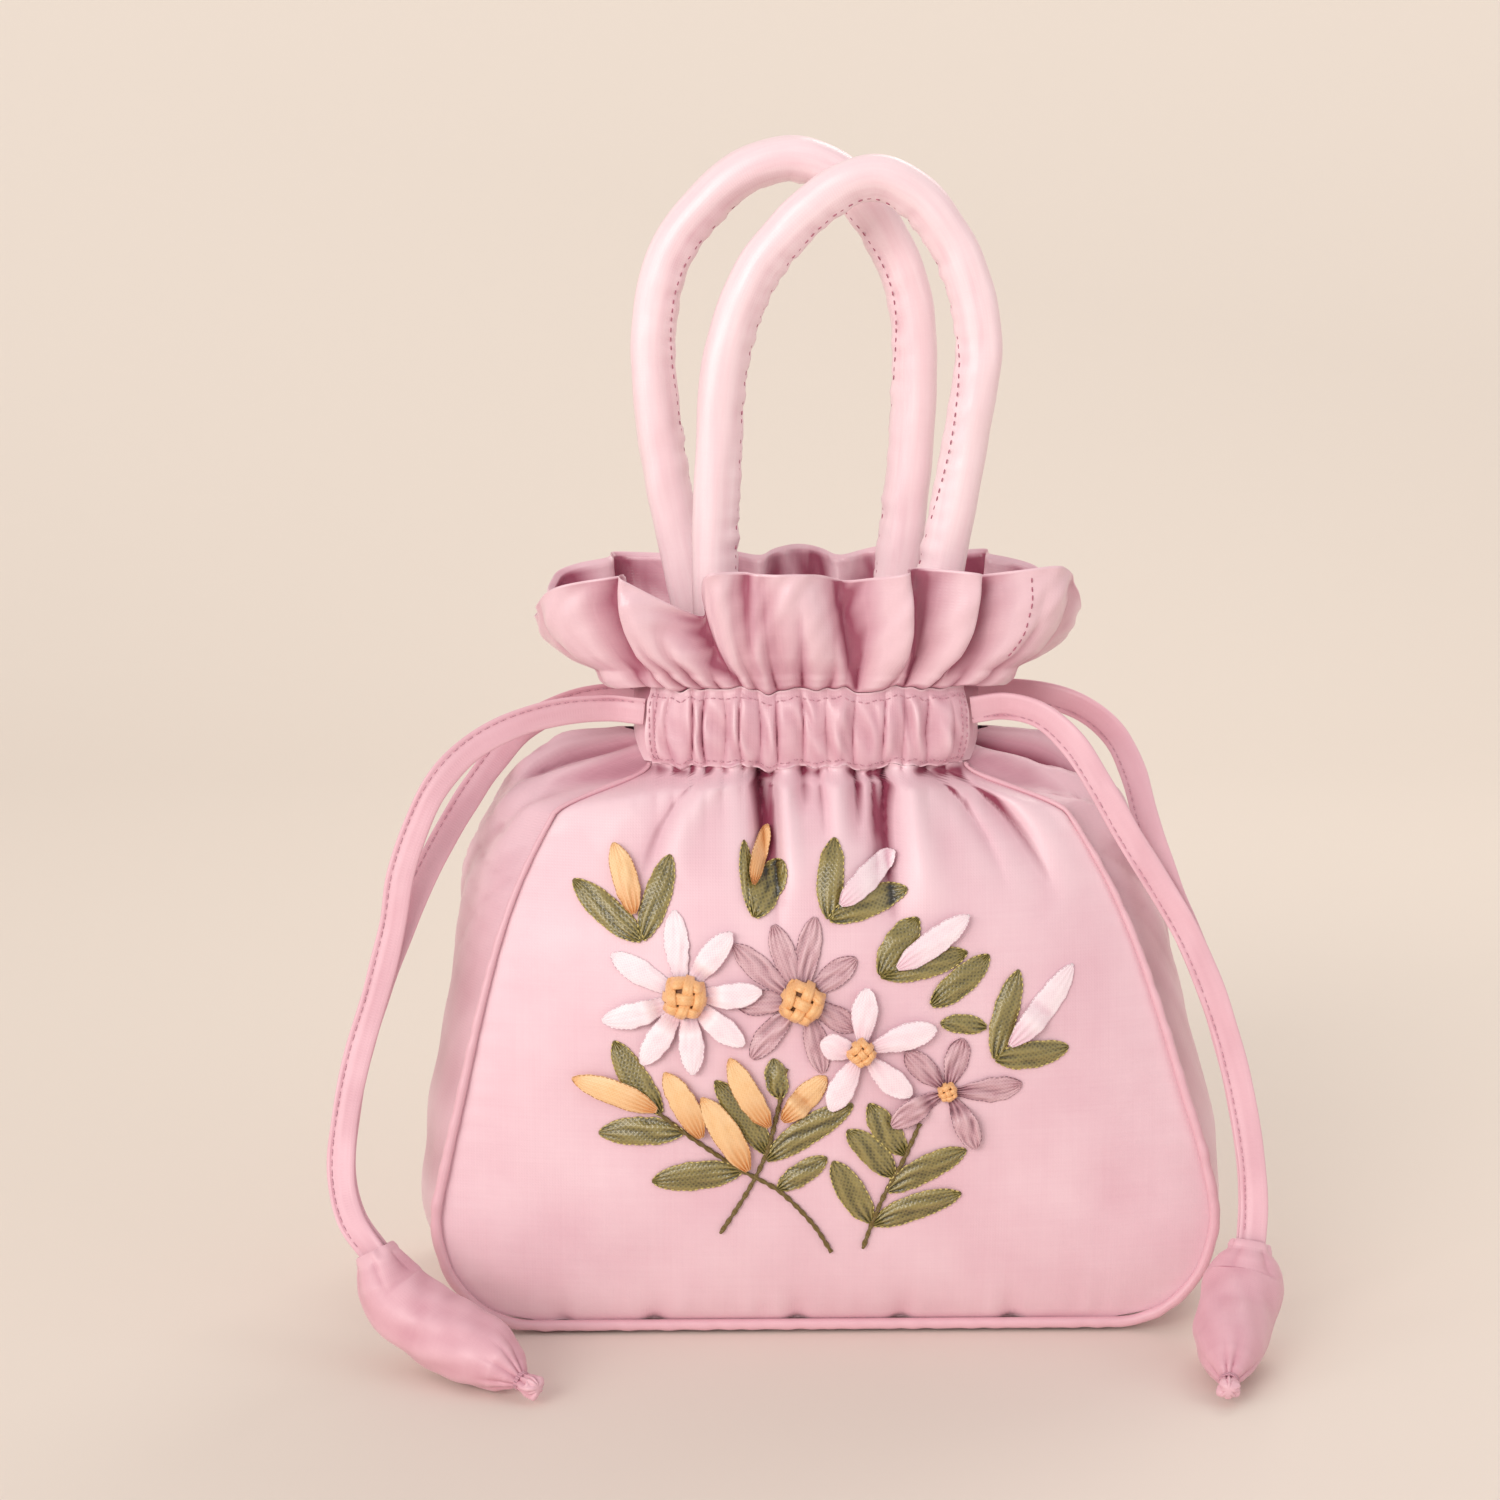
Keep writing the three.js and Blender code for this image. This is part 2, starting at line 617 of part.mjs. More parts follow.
// The flowers: centre as shares like a ribbon's, its layer, the knot as a share of knotRadius,
// and petals by reach (share of petalReach), direction in degrees and the layer of their tip.
const flowers = [
  {
    name: 'flower_left', color: palePetal, centre: [-0.365, 0.628], layer: 0, knot: 1.0, ribbon: 0.86,
    petals: [
      [1.03, 97, 0], [0.98, 54, 1], [0.95, 5, 1], [0.92, -38, 1],
      [0.94, -84, 1], [0.98, -123, 1], [1.06, -163, 1], [1.02, 152, 0],
    ],
  },
  {
    name: 'flower_middle', color: mauvePetal, centre: [-0.066, 0.621], layer: 0, knot: 1.0, ribbon: 0.84,
    petals: [
      [1.08, 141, 0], [0.98, 111, 0], [1.02, 81, 0], [0.84, 38, 0],
      [0.74, -28, 0], [0.92, -74, 0], [0.94, -132, 0], [0.80, -176, 0],
    ],
  },
  {
    name: 'flower_right', color: palePetal, centre: [0.084, 0.535], layer: 1, knot: 0.62, ribbon: 0.9,
    petals: [[0.78, 85, 1], [0.96, 17, 1], [0.82, -42, 1], [0.82, -118, 1], [0.52, 168, 1]],
  },
  {
    name: 'flower_low', color: mauvePetal, centre: [0.304, 0.461], layer: 0, knot: 0.45, ribbon: 0.86,
    petals: [[0.68, 74, 0], [0.72, 136, 0], [0.93, 4, 0], [0.79, -63, 1], [0.80, -150, 1]],
  },
];

const petalShape = [
  { along: 0, half: 0.42 },
  { along: 0.30, half: 0.78 },
  { along: 0.50, half: 1.00 },
  { along: 0.84, half: 0.78 },
  { along: 1, half: 0.22 },
];

function flowerMeshes({ name, color, centre, layer, knot, ribbon, petals }) {
  const pieces = petals.map(([reach, degrees, tipLayer]) => {
    const angle = THREE.MathUtils.degToRad(degrees);
    const tip = [
      centre[0] + reach * petalReach * Math.cos(angle) / seamHalfWidth,
      centre[1] + reach * petalReach * Math.sin(angle) / bodyHeight,
    ];
    return ribbonSolid({ root: centre, tip, width: ribbon, climb: [layer, tipLayer] }, petalShape);
  });
  return [
    clothMesh(`${name}_petals`, joined(pieces), color),
    clothMesh(`${name}_centre`, knotSolid(centre, knot * knotRadius, layer), apricot),
  ];
}

// The knotted middle of a flower: a low dome on its petals.
function knotSolid(centre, radius, layer) {
  const sides = 8;
  const seatLift = ribbonLift + ribbonThickness + ribbonArch + layer * layerStep;
  const levels = [
    { out: 0.86, up: 0 },
    { out: 1.00, up: 0.34 },
    { out: 0.54, up: 0.68 },
  ];
  const x = centre[0] * seamHalfWidth;
  const z = centre[1] * bodyHeight;
  const seat = onFront(x, z, seatLift + 3 * clearance);
  const rings = levels.map(({ out, up }) => {
    const ring = [];
    for (let side = 0; side < sides; side += 1) {
      const angle = 2 * Math.PI * side / sides;
      const reach = radius * out;
      const [px, pz] = [x + reach * Math.cos(angle), z + reach * Math.sin(angle)];
      const base = onFront(px, pz, seatLift + 2.4 * clearance).y;
      ring.push(new THREE.Vector3(px, (base + seat.y) / 2 - radius * up, pz));
    }
    return ring;
  });
  return ringSolid(rings);
}

// Leaves that share a root or a stem are one spray, and one node.
const sprays = [
  {
    name: 'leaves_upper_left',
    leaves: [
      { root: [-0.473, 0.722], tip: [-0.650, 0.818], width: 1.0 },
      { root: [-0.473, 0.722], tip: [-0.400, 0.865], width: 0.94 },
    ],
  },
  {
    name: 'leaves_upper_middle',
    leaves: [
      { root: [-0.188, 0.764], tip: [-0.212, 0.888], width: 0.5 },
      { root: [-0.188, 0.764], tip: [-0.113, 0.856], width: 1.0 },
    ],
  },
  {
    name: 'leaves_upper_right',
    leaves: [
      { root: [0.003, 0.760], tip: [0.020, 0.894], width: 0.94 },
      { root: [0.003, 0.760], tip: [0.204, 0.809], width: 0.94 },
    ],
  },
  {
    name: 'leaves_right',
    leaves: [
      { root: [0.132, 0.664], tip: [0.230, 0.761], width: 1.05 },
      { root: [0.132, 0.664], tip: [0.356, 0.701], width: 0.94 },
    ],
  },
  { name: 'leaf_right_long', leaves: [{ root: [0.262, 0.612], tip: [0.412, 0.695], width: 0.97 }] },
  { name: 'leaf_right_short', leaves: [{ root: [0.404, 0.572], tip: [0.285, 0.581], width: 0.68 }] },
  {
    name: 'leaves_far_right',
    leaves: [
      { root: [0.426, 0.516], tip: [0.488, 0.668], width: 0.9 },
      { root: [0.426, 0.516], tip: [0.618, 0.531], width: 0.94 },
    ],
  },
  {
    name: 'leaves_lower_left',
    leaves: [
      { root: [-0.426, 0.424], tip: [-0.546, 0.548], width: 1.0 },
      { root: [-0.370, 0.392], tip: [-0.586, 0.385], width: 1.0 },
      { root: [-0.222, 0.322], tip: [-0.450, 0.301], width: 1.05 },
      { root: [-0.152, 0.352], tip: [-0.288, 0.483], width: 0.96 },
      { root: [-0.158, 0.342], tip: [0.063, 0.441], width: 1.0 },
      { root: [-0.128, 0.289], tip: [-0.003, 0.346], width: 0.82 },
      { root: [-0.122, 0.452], tip: [-0.140, 0.522], width: 0.8 },
    ],
    stems: [
      [[-0.108, 0.505], [-0.132, 0.420], [-0.160, 0.350], [-0.205, 0.285], [-0.275, 0.207]],
      [[-0.434, 0.425], [-0.340, 0.377], [-0.229, 0.326], [-0.125, 0.285], [-0.040, 0.225], [0.010, 0.170]],
    ],
  },
  {
    name: 'leaves_lower_right',
    leaves: [
      { root: [0.168, 0.310], tip: [0.048, 0.395], width: 0.95 },
      { root: [0.196, 0.350], tip: [0.103, 0.442], width: 0.94 },
      { root: [0.152, 0.284], tip: [0.354, 0.357], width: 0.96 },
      { root: [0.116, 0.222], tip: [0.342, 0.278], width: 0.96 },
      { root: [0.110, 0.226], tip: [0.012, 0.339], width: 1.0 },
    ],
    stems: [[[0.234, 0.406], [0.192, 0.340], [0.150, 0.285], [0.114, 0.225], [0.091, 0.177]]],
  },
];

// Single buds, which lie over the leaves beside them.
const buds = [
  { name: 'bud_upper_left', color: apricot, root: [-0.493, 0.767], tip: [-0.546, 0.884], width: 0.9, climb: [1, 1] },
  { name: 'bud_upper_middle', color: apricot, root: [-0.188, 0.818], tip: [-0.148, 0.909], width: 0.56, climb: [1, 1] },
  { name: 'bud_upper_right', color: palePetal, root: [0.031, 0.786], tip: [0.174, 0.870], width: 0.87, climb: [1, 1] },
  { name: 'bud_right', color: palePetal, root: [0.175, 0.678], tip: [0.361, 0.765], width: 0.9, climb: [1, 1] },
  { name: 'bud_far_right', color: palePetal, root: [0.463, 0.541], tip: [0.631, 0.672], width: 0.94, climb: [1, 0] },
  { name: 'bud_left_low', color: apricot, root: [-0.436, 0.432], tip: [-0.653, 0.483], width: 0.9, climb: [1, 1] },
  { name: 'bud_left_middle', color: apricot, root: [-0.323, 0.384], tip: [-0.417, 0.499], width: 0.94, climb: [1, 1] },
  { name: 'bud_left_inner', color: apricot, root: [-0.204, 0.325], tip: [-0.323, 0.456], width: 1.0, climb: [1, 1] },
  { name: 'bud_middle', color: apricot, root: [-0.150, 0.404], tip: [-0.252, 0.525], width: 0.9, climb: [1, 1] },
  { name: 'bud_middle_right', color: apricot, root: [-0.118, 0.415], tip: [-0.005, 0.490], width: 0.9, climb: [1, 0] },
];

const group = new THREE.Group();
group.add(clothMesh('front_panel', panelSolid(frontGrid, -1), satinPink));
group.add(clothMesh('back_panel', panelSolid(panelGrid(1, 8, 0), 1), satinPink));
group.add(clothMesh('gusset', gussetSolid(), satinPink));
group.add(clothMesh('front_piping', pipingSolid(-1), satinPink));
group.add(clothMesh('back_piping', pipingSolid(1), satinPink));
group.add(clothMesh('neck_ruffle', neckRuffleSolid(), satinPink));
group.add(clothMesh('casing_front', casingSolid(-1), satinPink));
group.add(clothMesh('casing_back', casingSolid(1), satinPink));
group.add(clothMesh('front_handle', handleSolid(frontHandleRoute, -1), palePink));
group.add(clothMesh('back_handle', handleSolid(rearHandleRoute, 1), palePink));
group.add(clothMesh('cord_left_front', tapeSolid(leftFrontRoute), tapePink));
group.add(clothMesh('cord_left_back', tapeSolid(leftBackRoute), tapePink));
group.add(clothMesh('cord_right_front', tapeSolid(rightFrontRoute), tapePink));
group.add(clothMesh('cord_right_back', tapeSolid(rightBackRoute), tapePink));
group.add(clothMesh('pod_left', podSolid(leftPodRoute), palePink));
group.add(clothMesh('pod_right', podSolid(rightPodRoute), palePink));
for (const flower of flowers) group.add(...flowerMeshes(flower));
for (const { name, leaves, stems = [] } of sprays) {
  const pieces = [...leaves.map((leaf) => ribbonSolid(leaf)), ...stems.map(stemSolid)];
  group.add(clothMesh(name, joined(pieces), oliveGreen));
}
for (const bud of buds) group.add(clothMesh(bud.name, ribbonSolid(bud), bud.color));

export default group;
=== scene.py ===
"""A small satin drawstring reticule with ribbon embroidery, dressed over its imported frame.

Lengths in the tables are millimetres, and every mesh is written in metres. The front faces -Y.
"""

import bmesh
import bpy
import numpy as np
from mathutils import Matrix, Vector


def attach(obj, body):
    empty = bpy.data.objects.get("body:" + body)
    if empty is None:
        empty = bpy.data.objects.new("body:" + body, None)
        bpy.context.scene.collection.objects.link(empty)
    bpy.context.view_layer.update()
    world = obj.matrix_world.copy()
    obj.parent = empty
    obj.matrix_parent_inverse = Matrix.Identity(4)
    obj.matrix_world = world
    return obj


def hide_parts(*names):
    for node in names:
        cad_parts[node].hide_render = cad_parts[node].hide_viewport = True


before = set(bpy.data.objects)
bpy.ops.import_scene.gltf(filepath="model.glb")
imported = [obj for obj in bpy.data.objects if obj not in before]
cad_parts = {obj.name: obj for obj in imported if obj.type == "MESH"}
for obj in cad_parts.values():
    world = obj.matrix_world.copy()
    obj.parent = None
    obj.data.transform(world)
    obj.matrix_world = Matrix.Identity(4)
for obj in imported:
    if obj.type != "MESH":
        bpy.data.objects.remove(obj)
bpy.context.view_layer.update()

MM = 0.001

# The body
BODY_HEIGHT = 141.5
BODY_HALF_WIDTH = 103.5
SEAM_HALF_WIDTH = 96.5
SEAM_HALF_DEPTH = 40
BELLY_SWELL = 12
CORNER_WIDTH = 24
CORNER_HEIGHT = 27
SHOULDER_RISE = 7
BODY_LEAN = 4
CLOTH = 1.6
CLEARANCE = 0.3
PIPING_RADIUS = 1.5

# The neck, the frill and the casings
NECK_CENTRE = -BODY_LEAN
NECK_HALF_WIDTH = 44
NECK_HALF_DEPTH = 22
CASING_HEIGHT = 19
FRILL_HEIGHT = 30
FRILL_HALF_WIDTH = 66
FRILL_HALF_DEPTH = 33
FRILL_CLOTH = 1.3
FRILL_GIRTH = 320
FRILL_SEAM = 331

# Handles, tapes and pods
HANDLE_RADIUS = 5.7
HANDLE_RISE = 138
HANDLE_SPAN = 64
HANDLE_DEPTH = 11.15
TAPE_WIDTH = 7
TAPE_THICKNESS = 2.2
POD_RADIUS = 9.3

# The embroidery
RIBBON_WIDTH = 7
RIBBON_THICKNESS = 0.3
LAYER_STEP = 1.7
PETAL_REACH = 20
KNOT_RADIUS = 5.5
STEM_RADIUS = 0.58


def linear(code):
    """Colour of an sRGB hex code as linear red, green, blue and alpha."""
    share = np.array([int(code[at:at + 2], 16) for at in (1, 3, 5)]) / 255
    light = np.where(share <= 0.04045, share / 12.92, ((share + 0.055) / 1.055) ** 2.4)
    return (*light.tolist(), 1.0)


def smooth_through(table, places, slack=False):
    """Cubic through the rows of a table, read at fractional row numbers.

    The slope at a row is the harmonic mean of the steps on its two sides, and nothing where they
    turn, so the curve stays between its rows. A slack curve takes their plain mean instead.
    """
    rows = np.asarray(table, float).reshape(len(table), -1)
    places = np.asarray(places, float)
    steps = np.diff(rows, axis=0)
    before, after = steps[:-1], steps[1:]
    together = before * after > 0
    mean = 2 * before * after / np.where(together, before + after, 1)
    inner = (before + after) / 2 if slack else np.where(together, mean, 0)
    slopes = np.vstack([steps[:1], inner, steps[-1:]])
    index = np.clip(np.floor(places).astype(int), 0, len(steps) - 1)
    t = (places - index)[..., None]
    return (
        rows[index] * (1 + 2 * t) * (1 - t) ** 2
        + slopes[index] * t * (1 - t) ** 2
        + rows[index + 1] * t ** 2 * (3 - 2 * t)
        + slopes[index + 1] * t ** 2 * (t - 1)
    )


def share_curve(table, shares):
    """Value of a two-column table, share and value, at any share: a smooth curve of its rows."""
    table = np.asarray(table, float)
    places = np.interp(shares, table[:, 0], np.arange(len(table)))
    return smooth_through(table[:, 1:], places)[..., 0]


def ramp(value, span):
    """The value as a share of the span, held between 0 and 1."""
    return np.clip(value / span, 0, 1)


def lengths_along(points):
    """The way along a line of points from its first point to each."""
    return np.concatenate([[0], np.cumsum(np.linalg.norm(np.diff(points, axis=0), axis=1))])


def evenly(points, count):
    """Points at equal lengths along a line of points, with the whole length."""
    lengths = lengths_along(points)
    at = np.linspace(0, lengths[-1], count)
    return np.stack([np.interp(at, lengths, points[:, axis]) for axis in range(3)], axis=1), lengths[-1]


def along_route(route, count):
    """Evenly spaced points on the slack curve through a route, their directions and the length."""
    dense = smooth_through(route, np.linspace(0, len(route) - 1, 40 * len(route)), slack=True)
    points, length = evenly(dense, count)
    return points, unit(np.gradient(points, axis=0)), length


def unit(vectors):
    """The same directions, one long."""
    return vectors / np.maximum(np.linalg.norm(vectors, axis=-1, keepdims=True), 1e-12)


def wander(places, wavelength, seed):
    """Between about -1 and 1: the mean of five sines near one wavelength, with seeded phases."""
    dice = np.random.default_rng(seed)
    total = np.zeros(np.shape(places))
    for _ in range(5):
        stretch, phase = dice.uniform(0.6, 1.7), dice.uniform(0, 2 * np.pi)
        total = total + np.sin(2 * np.pi * places * stretch / wavelength + phase)
    return total / 3


def crisp(places, wavelength, seed):
    """1 - |w| of a wandering w, and never below 0: 1 along the lines where w changes sign."""
    return np.clip(1 - np.abs(wander(places, wavelength, seed)), 0, 1)


def full_turn(count):
    """A row of that many angles, evenly round a circle."""
    return 2 * np.pi * np.arange(count)[None] / count


def bell(offset, width):
    """exp of minus the square of offset over width."""
    return np.exp(-((offset / width) ** 2))


def skin(points, uv, flip=False, wrap=False):
    """Quads over a grid of points, rows by columns; wrap joins the last column to the first.

    Corner (row, column) of a quad takes the uv of that row and column, and a wrapped grid brings
    one more column of uv than of points.
    """
    rows, columns = points.shape[:2]
    row = np.arange(rows - 1)[:, None]
    column = np.arange(columns if wrap else columns - 1)[None, :]
    corners = [(row, column), (row, column + 1), (row + 1, column + 1), (row + 1, column)]
    corners = corners[::-1] if flip else corners
    quads = np.stack([(r * columns + c % columns) + 0 * row for r, c in corners], axis=-1)
    corner_uv = np.stack([uv[r + 0 * c, c + 0 * r] for r, c in corners], axis=-2)
    return points.reshape(-1, 3), quads.reshape(-1, 4), corner_uv.reshape(-1, 4, 2)


def lattice(first, second):
    """uv of a grid: the first numbers along the rows, the second along the columns."""
    return np.stack(np.meshgrid(first, second, indexing="ij"), axis=-1)


def closed_sheet(outer, inner, uv):
    """Skins of the outer and the inner grid, joined by a strip along each of the four edges."""
    parts = [skin(outer, uv), skin(inner, uv, flip=True)]
    for edge in (np.s_[0], np.s_[-1], np.s_[:, 0], np.s_[:, -1]):
        parts.append(skin(np.stack([outer[edge], inner[edge]]), np.stack([uv[edge], uv[edge]])))
    return parts


def capped(rings):
    """The rings with one more at each end, where the end ring is drawn in to its middle."""
    first, last = rings[:1], rings[-1:]
    caps = [np.broadcast_to(ring.mean(axis=1, keepdims=True), ring.shape) for ring in (first, last)]
    return np.concatenate([caps[0], rings, caps[1]])


def tube(centres, sides_way, up_way, across, thick, uv_length):
    """A section carried along a path: centre + across * one way + thick * the other.

    across and thick are steps by sides arrays, so the section can change along the path. The ends
    are closed by their caps.
    """
    rings = centres[:, None] + across[..., None] * sides_way[:, None] + thick[..., None] * up_way[:, None]
    rings = capped(rings)
    uv_length = np.concatenate([uv_length[:1], uv_length, uv_length[-1:]])
    girth = np.linalg.norm(np.diff(rings[len(rings) // 2], axis=0), axis=1).sum()
    return skin(rings, lattice(uv_length, np.linspace(0, girth, rings.shape[1] + 1)), wrap=True)


def stitches(starts, ends, radius, sides=6):
    """Short threads from starts to ends: a round section on a line, radius * (4 t (1 - t))^0.3."""
    starts, ends = np.asarray(starts, float), np.asarray(ends, float)
    t = np.array([0, 0.04, 0.2, 0.5, 0.8, 0.96, 1])
    swell = radius * np.sqrt(4 * t * (1 - t)) ** 0.6
    way = unit(ends - starts)
    other = unit(np.cross(way, np.where(np.abs(way[:, 2:]) < 0.8, [[0, 0, 1.0]], [[1.0, 0, 0]])))
    third = np.cross(way, other)
    turn = 2 * np.pi * np.arange(sides) / sides
    spokes = other[:, None] * np.cos(turn)[:, None] + third[:, None] * np.sin(turn)[:, None]
    line = starts[:, None] + (ends - starts)[:, None] * t[:, None]
    rings = line[:, :, None] + spokes[:, None] * swell[:, None, None]
    each, quads, corner_uv = skin(rings[0], lattice(t, np.arange(sides + 1.0)), wrap=True)
    shift = (len(each) * np.arange(len(starts)))[:, None, None]
    quads = (quads[None] + shift).reshape(-1, 4)
    return rings.reshape(-1, 3), quads, np.tile(corner_uv, (len(starts), 1, 1))


def dashes(line, pitch, gap, radius, seed=1):
    """Stitches along a line of points: one thread in each pitch, less the gap, a little uneven."""
    total = np.linalg.norm(np.diff(line, axis=0), axis=1).sum()
    count = max(2, int(round(total / pitch)))
    fine, _ = evenly(line, 20 * count + 1)
    jitter = np.random.default_rng(seed).integers(-2, 3, size=(2, count))
    first = 20 * np.arange(count) + np.clip(1 + jitter[0], 0, 4)
    last = first + int(20 * (1 - gap / pitch)) + np.clip(jitter[1], -1, 0)
    return stitches(fine[first], fine[np.minimum(last, 20 * count)], radius)


def hollows(mesh, deepest, rounds):
    """Attribute "hollow": 0 on a ridge, 0.5 on even cloth and 1 in a hollow deepest mm deep.

    The points are smoothed by giving each the mean of its neighbours, round after round, and the
    depth of a point is the way to its smoothed place along its normal. The materials use it as the
    mask for painted shade in hollows and a painted highlight on ridges.
    """
    count = len(mesh.vertices)
    points, normals = np.empty(3 * count), np.empty(3 * count)
    mesh.vertices.foreach_get("co", points)
    mesh.vertices.foreach_get("normal", normals)
    edges = np.empty(2 * len(mesh.edges), dtype=np.int32)
    mesh.edges.foreach_get("vertices", edges)
    near, far = np.concatenate([edges.reshape(-1, 2), edges.reshape(-1, 2)[:, ::-1]]).T
    degree = np.bincount(near, minlength=count)[:, None]
    smoothed = points.reshape(-1, 3)
    for _ in range(rounds):
        sums = [np.bincount(near, smoothed[far, axis], count) for axis in range(3)]
        smoothed = np.stack(sums, axis=1) / degree
    depth = ((smoothed - points.reshape(-1, 3)) * normals.reshape(-1, 3)).sum(axis=1)
    layer = mesh.attributes.new("hollow", "FLOAT", "POINT")
    layer.data.foreach_set("value", np.clip(0.5 + 0.5 * depth / (deepest * MM), 0, 1).astype(np.float32))


def placed(name, data):
    """A new object of the data, in the scene."""
    thing = bpy.data.objects.new(name, data)
    bpy.context.scene.collection.objects.link(thing)
    return thing


def piece(name, parts, materials, node=None, crease=50, deepest=0.8, rounds=40):
    """One object from parts, each a skin or a skin with its material number, with doubles merged.

    The mesh is written in metres at the origin, its faces point outward, and its uv is in metres.
    deepest and rounds are for its hollow attribute, the mask of its painted shade and painted highlight.
    """
    parts = [part if isinstance(part[0], tuple) else (part, 0) for part in parts]
    offsets = np.cumsum([0] + [len(part[0][0]) for part in parts])
    points = np.concatenate([part[0][0] for part in parts]) * MM
    quads = np.concatenate([part[0][1] + offset for part, offset in zip(parts, offsets)])
    corner_uv = np.concatenate([part[0][2] for part in parts]) * MM
    numbers = np.concatenate([np.full(len(part[0][1]), part[1]) for part in parts])
    mesh = bpy.data.meshes.new(name)
    mesh.vertices.add(len(points))
    mesh.vertices.foreach_set("co", points.ravel())
    mesh.loops.add(quads.size)
    mesh.loops.foreach_set("vertex_index", quads.ravel().astype(np.int32))
    mesh.polygons.add(len(quads))
    mesh.polygons.foreach_set("loop_start", np.arange(0, quads.size, 4, dtype=np.int32))
    mesh.polygons.foreach_set("material_index", numbers.astype(np.int32))
    mesh.update(calc_edges=True)
    layer = mesh.uv_layers.new(name="cloth")
    layer.data.foreach_set("uv", corner_uv.ravel())
    sewn = bmesh.new()
    sewn.from_mesh(mesh)
    bmesh.ops.remove_doubles(sewn, verts=sewn.verts, dist=2e-6)
    bmesh.ops.dissolve_degenerate(sewn, edges=sewn.edges, dist=1e-7)
    bmesh.ops.recalc_face_normals(sewn, faces=sewn.faces)
    sewn.to_mesh(mesh)
    sewn.free()
    hollows(mesh, deepest, rounds)
    mesh.shade_smooth()
    mesh.set_sharp_from_angle(angle=np.radians(crease))
    thing = placed(name, mesh)
    for material in materials:
        mesh.materials.append(material)
    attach(thing, "root")
    if node:
        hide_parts(node)
    return thing


def add(tree, kind, inputs=None, **settings):
    """Adds a node with its settings, and feeds its inputs with numbers, colours or sockets."""
    made = tree.nodes.new(kind)
    for key, value in settings.items():
        setattr(made, key, value)
    for key, value in (inputs or {}).items():
        if isinstance(value, bpy.types.NodeSocket):
            tree.links.new(value, made.inputs[key])
        else:
            made.inputs[key].default_value = value
    return made


def blank(name):
    """A new material with an empty node tree, and the tree."""
    material = bpy.data.materials.new(name)
    material.use_nodes = True
    material.node_tree.nodes.clear()
    return material, material.node_tree


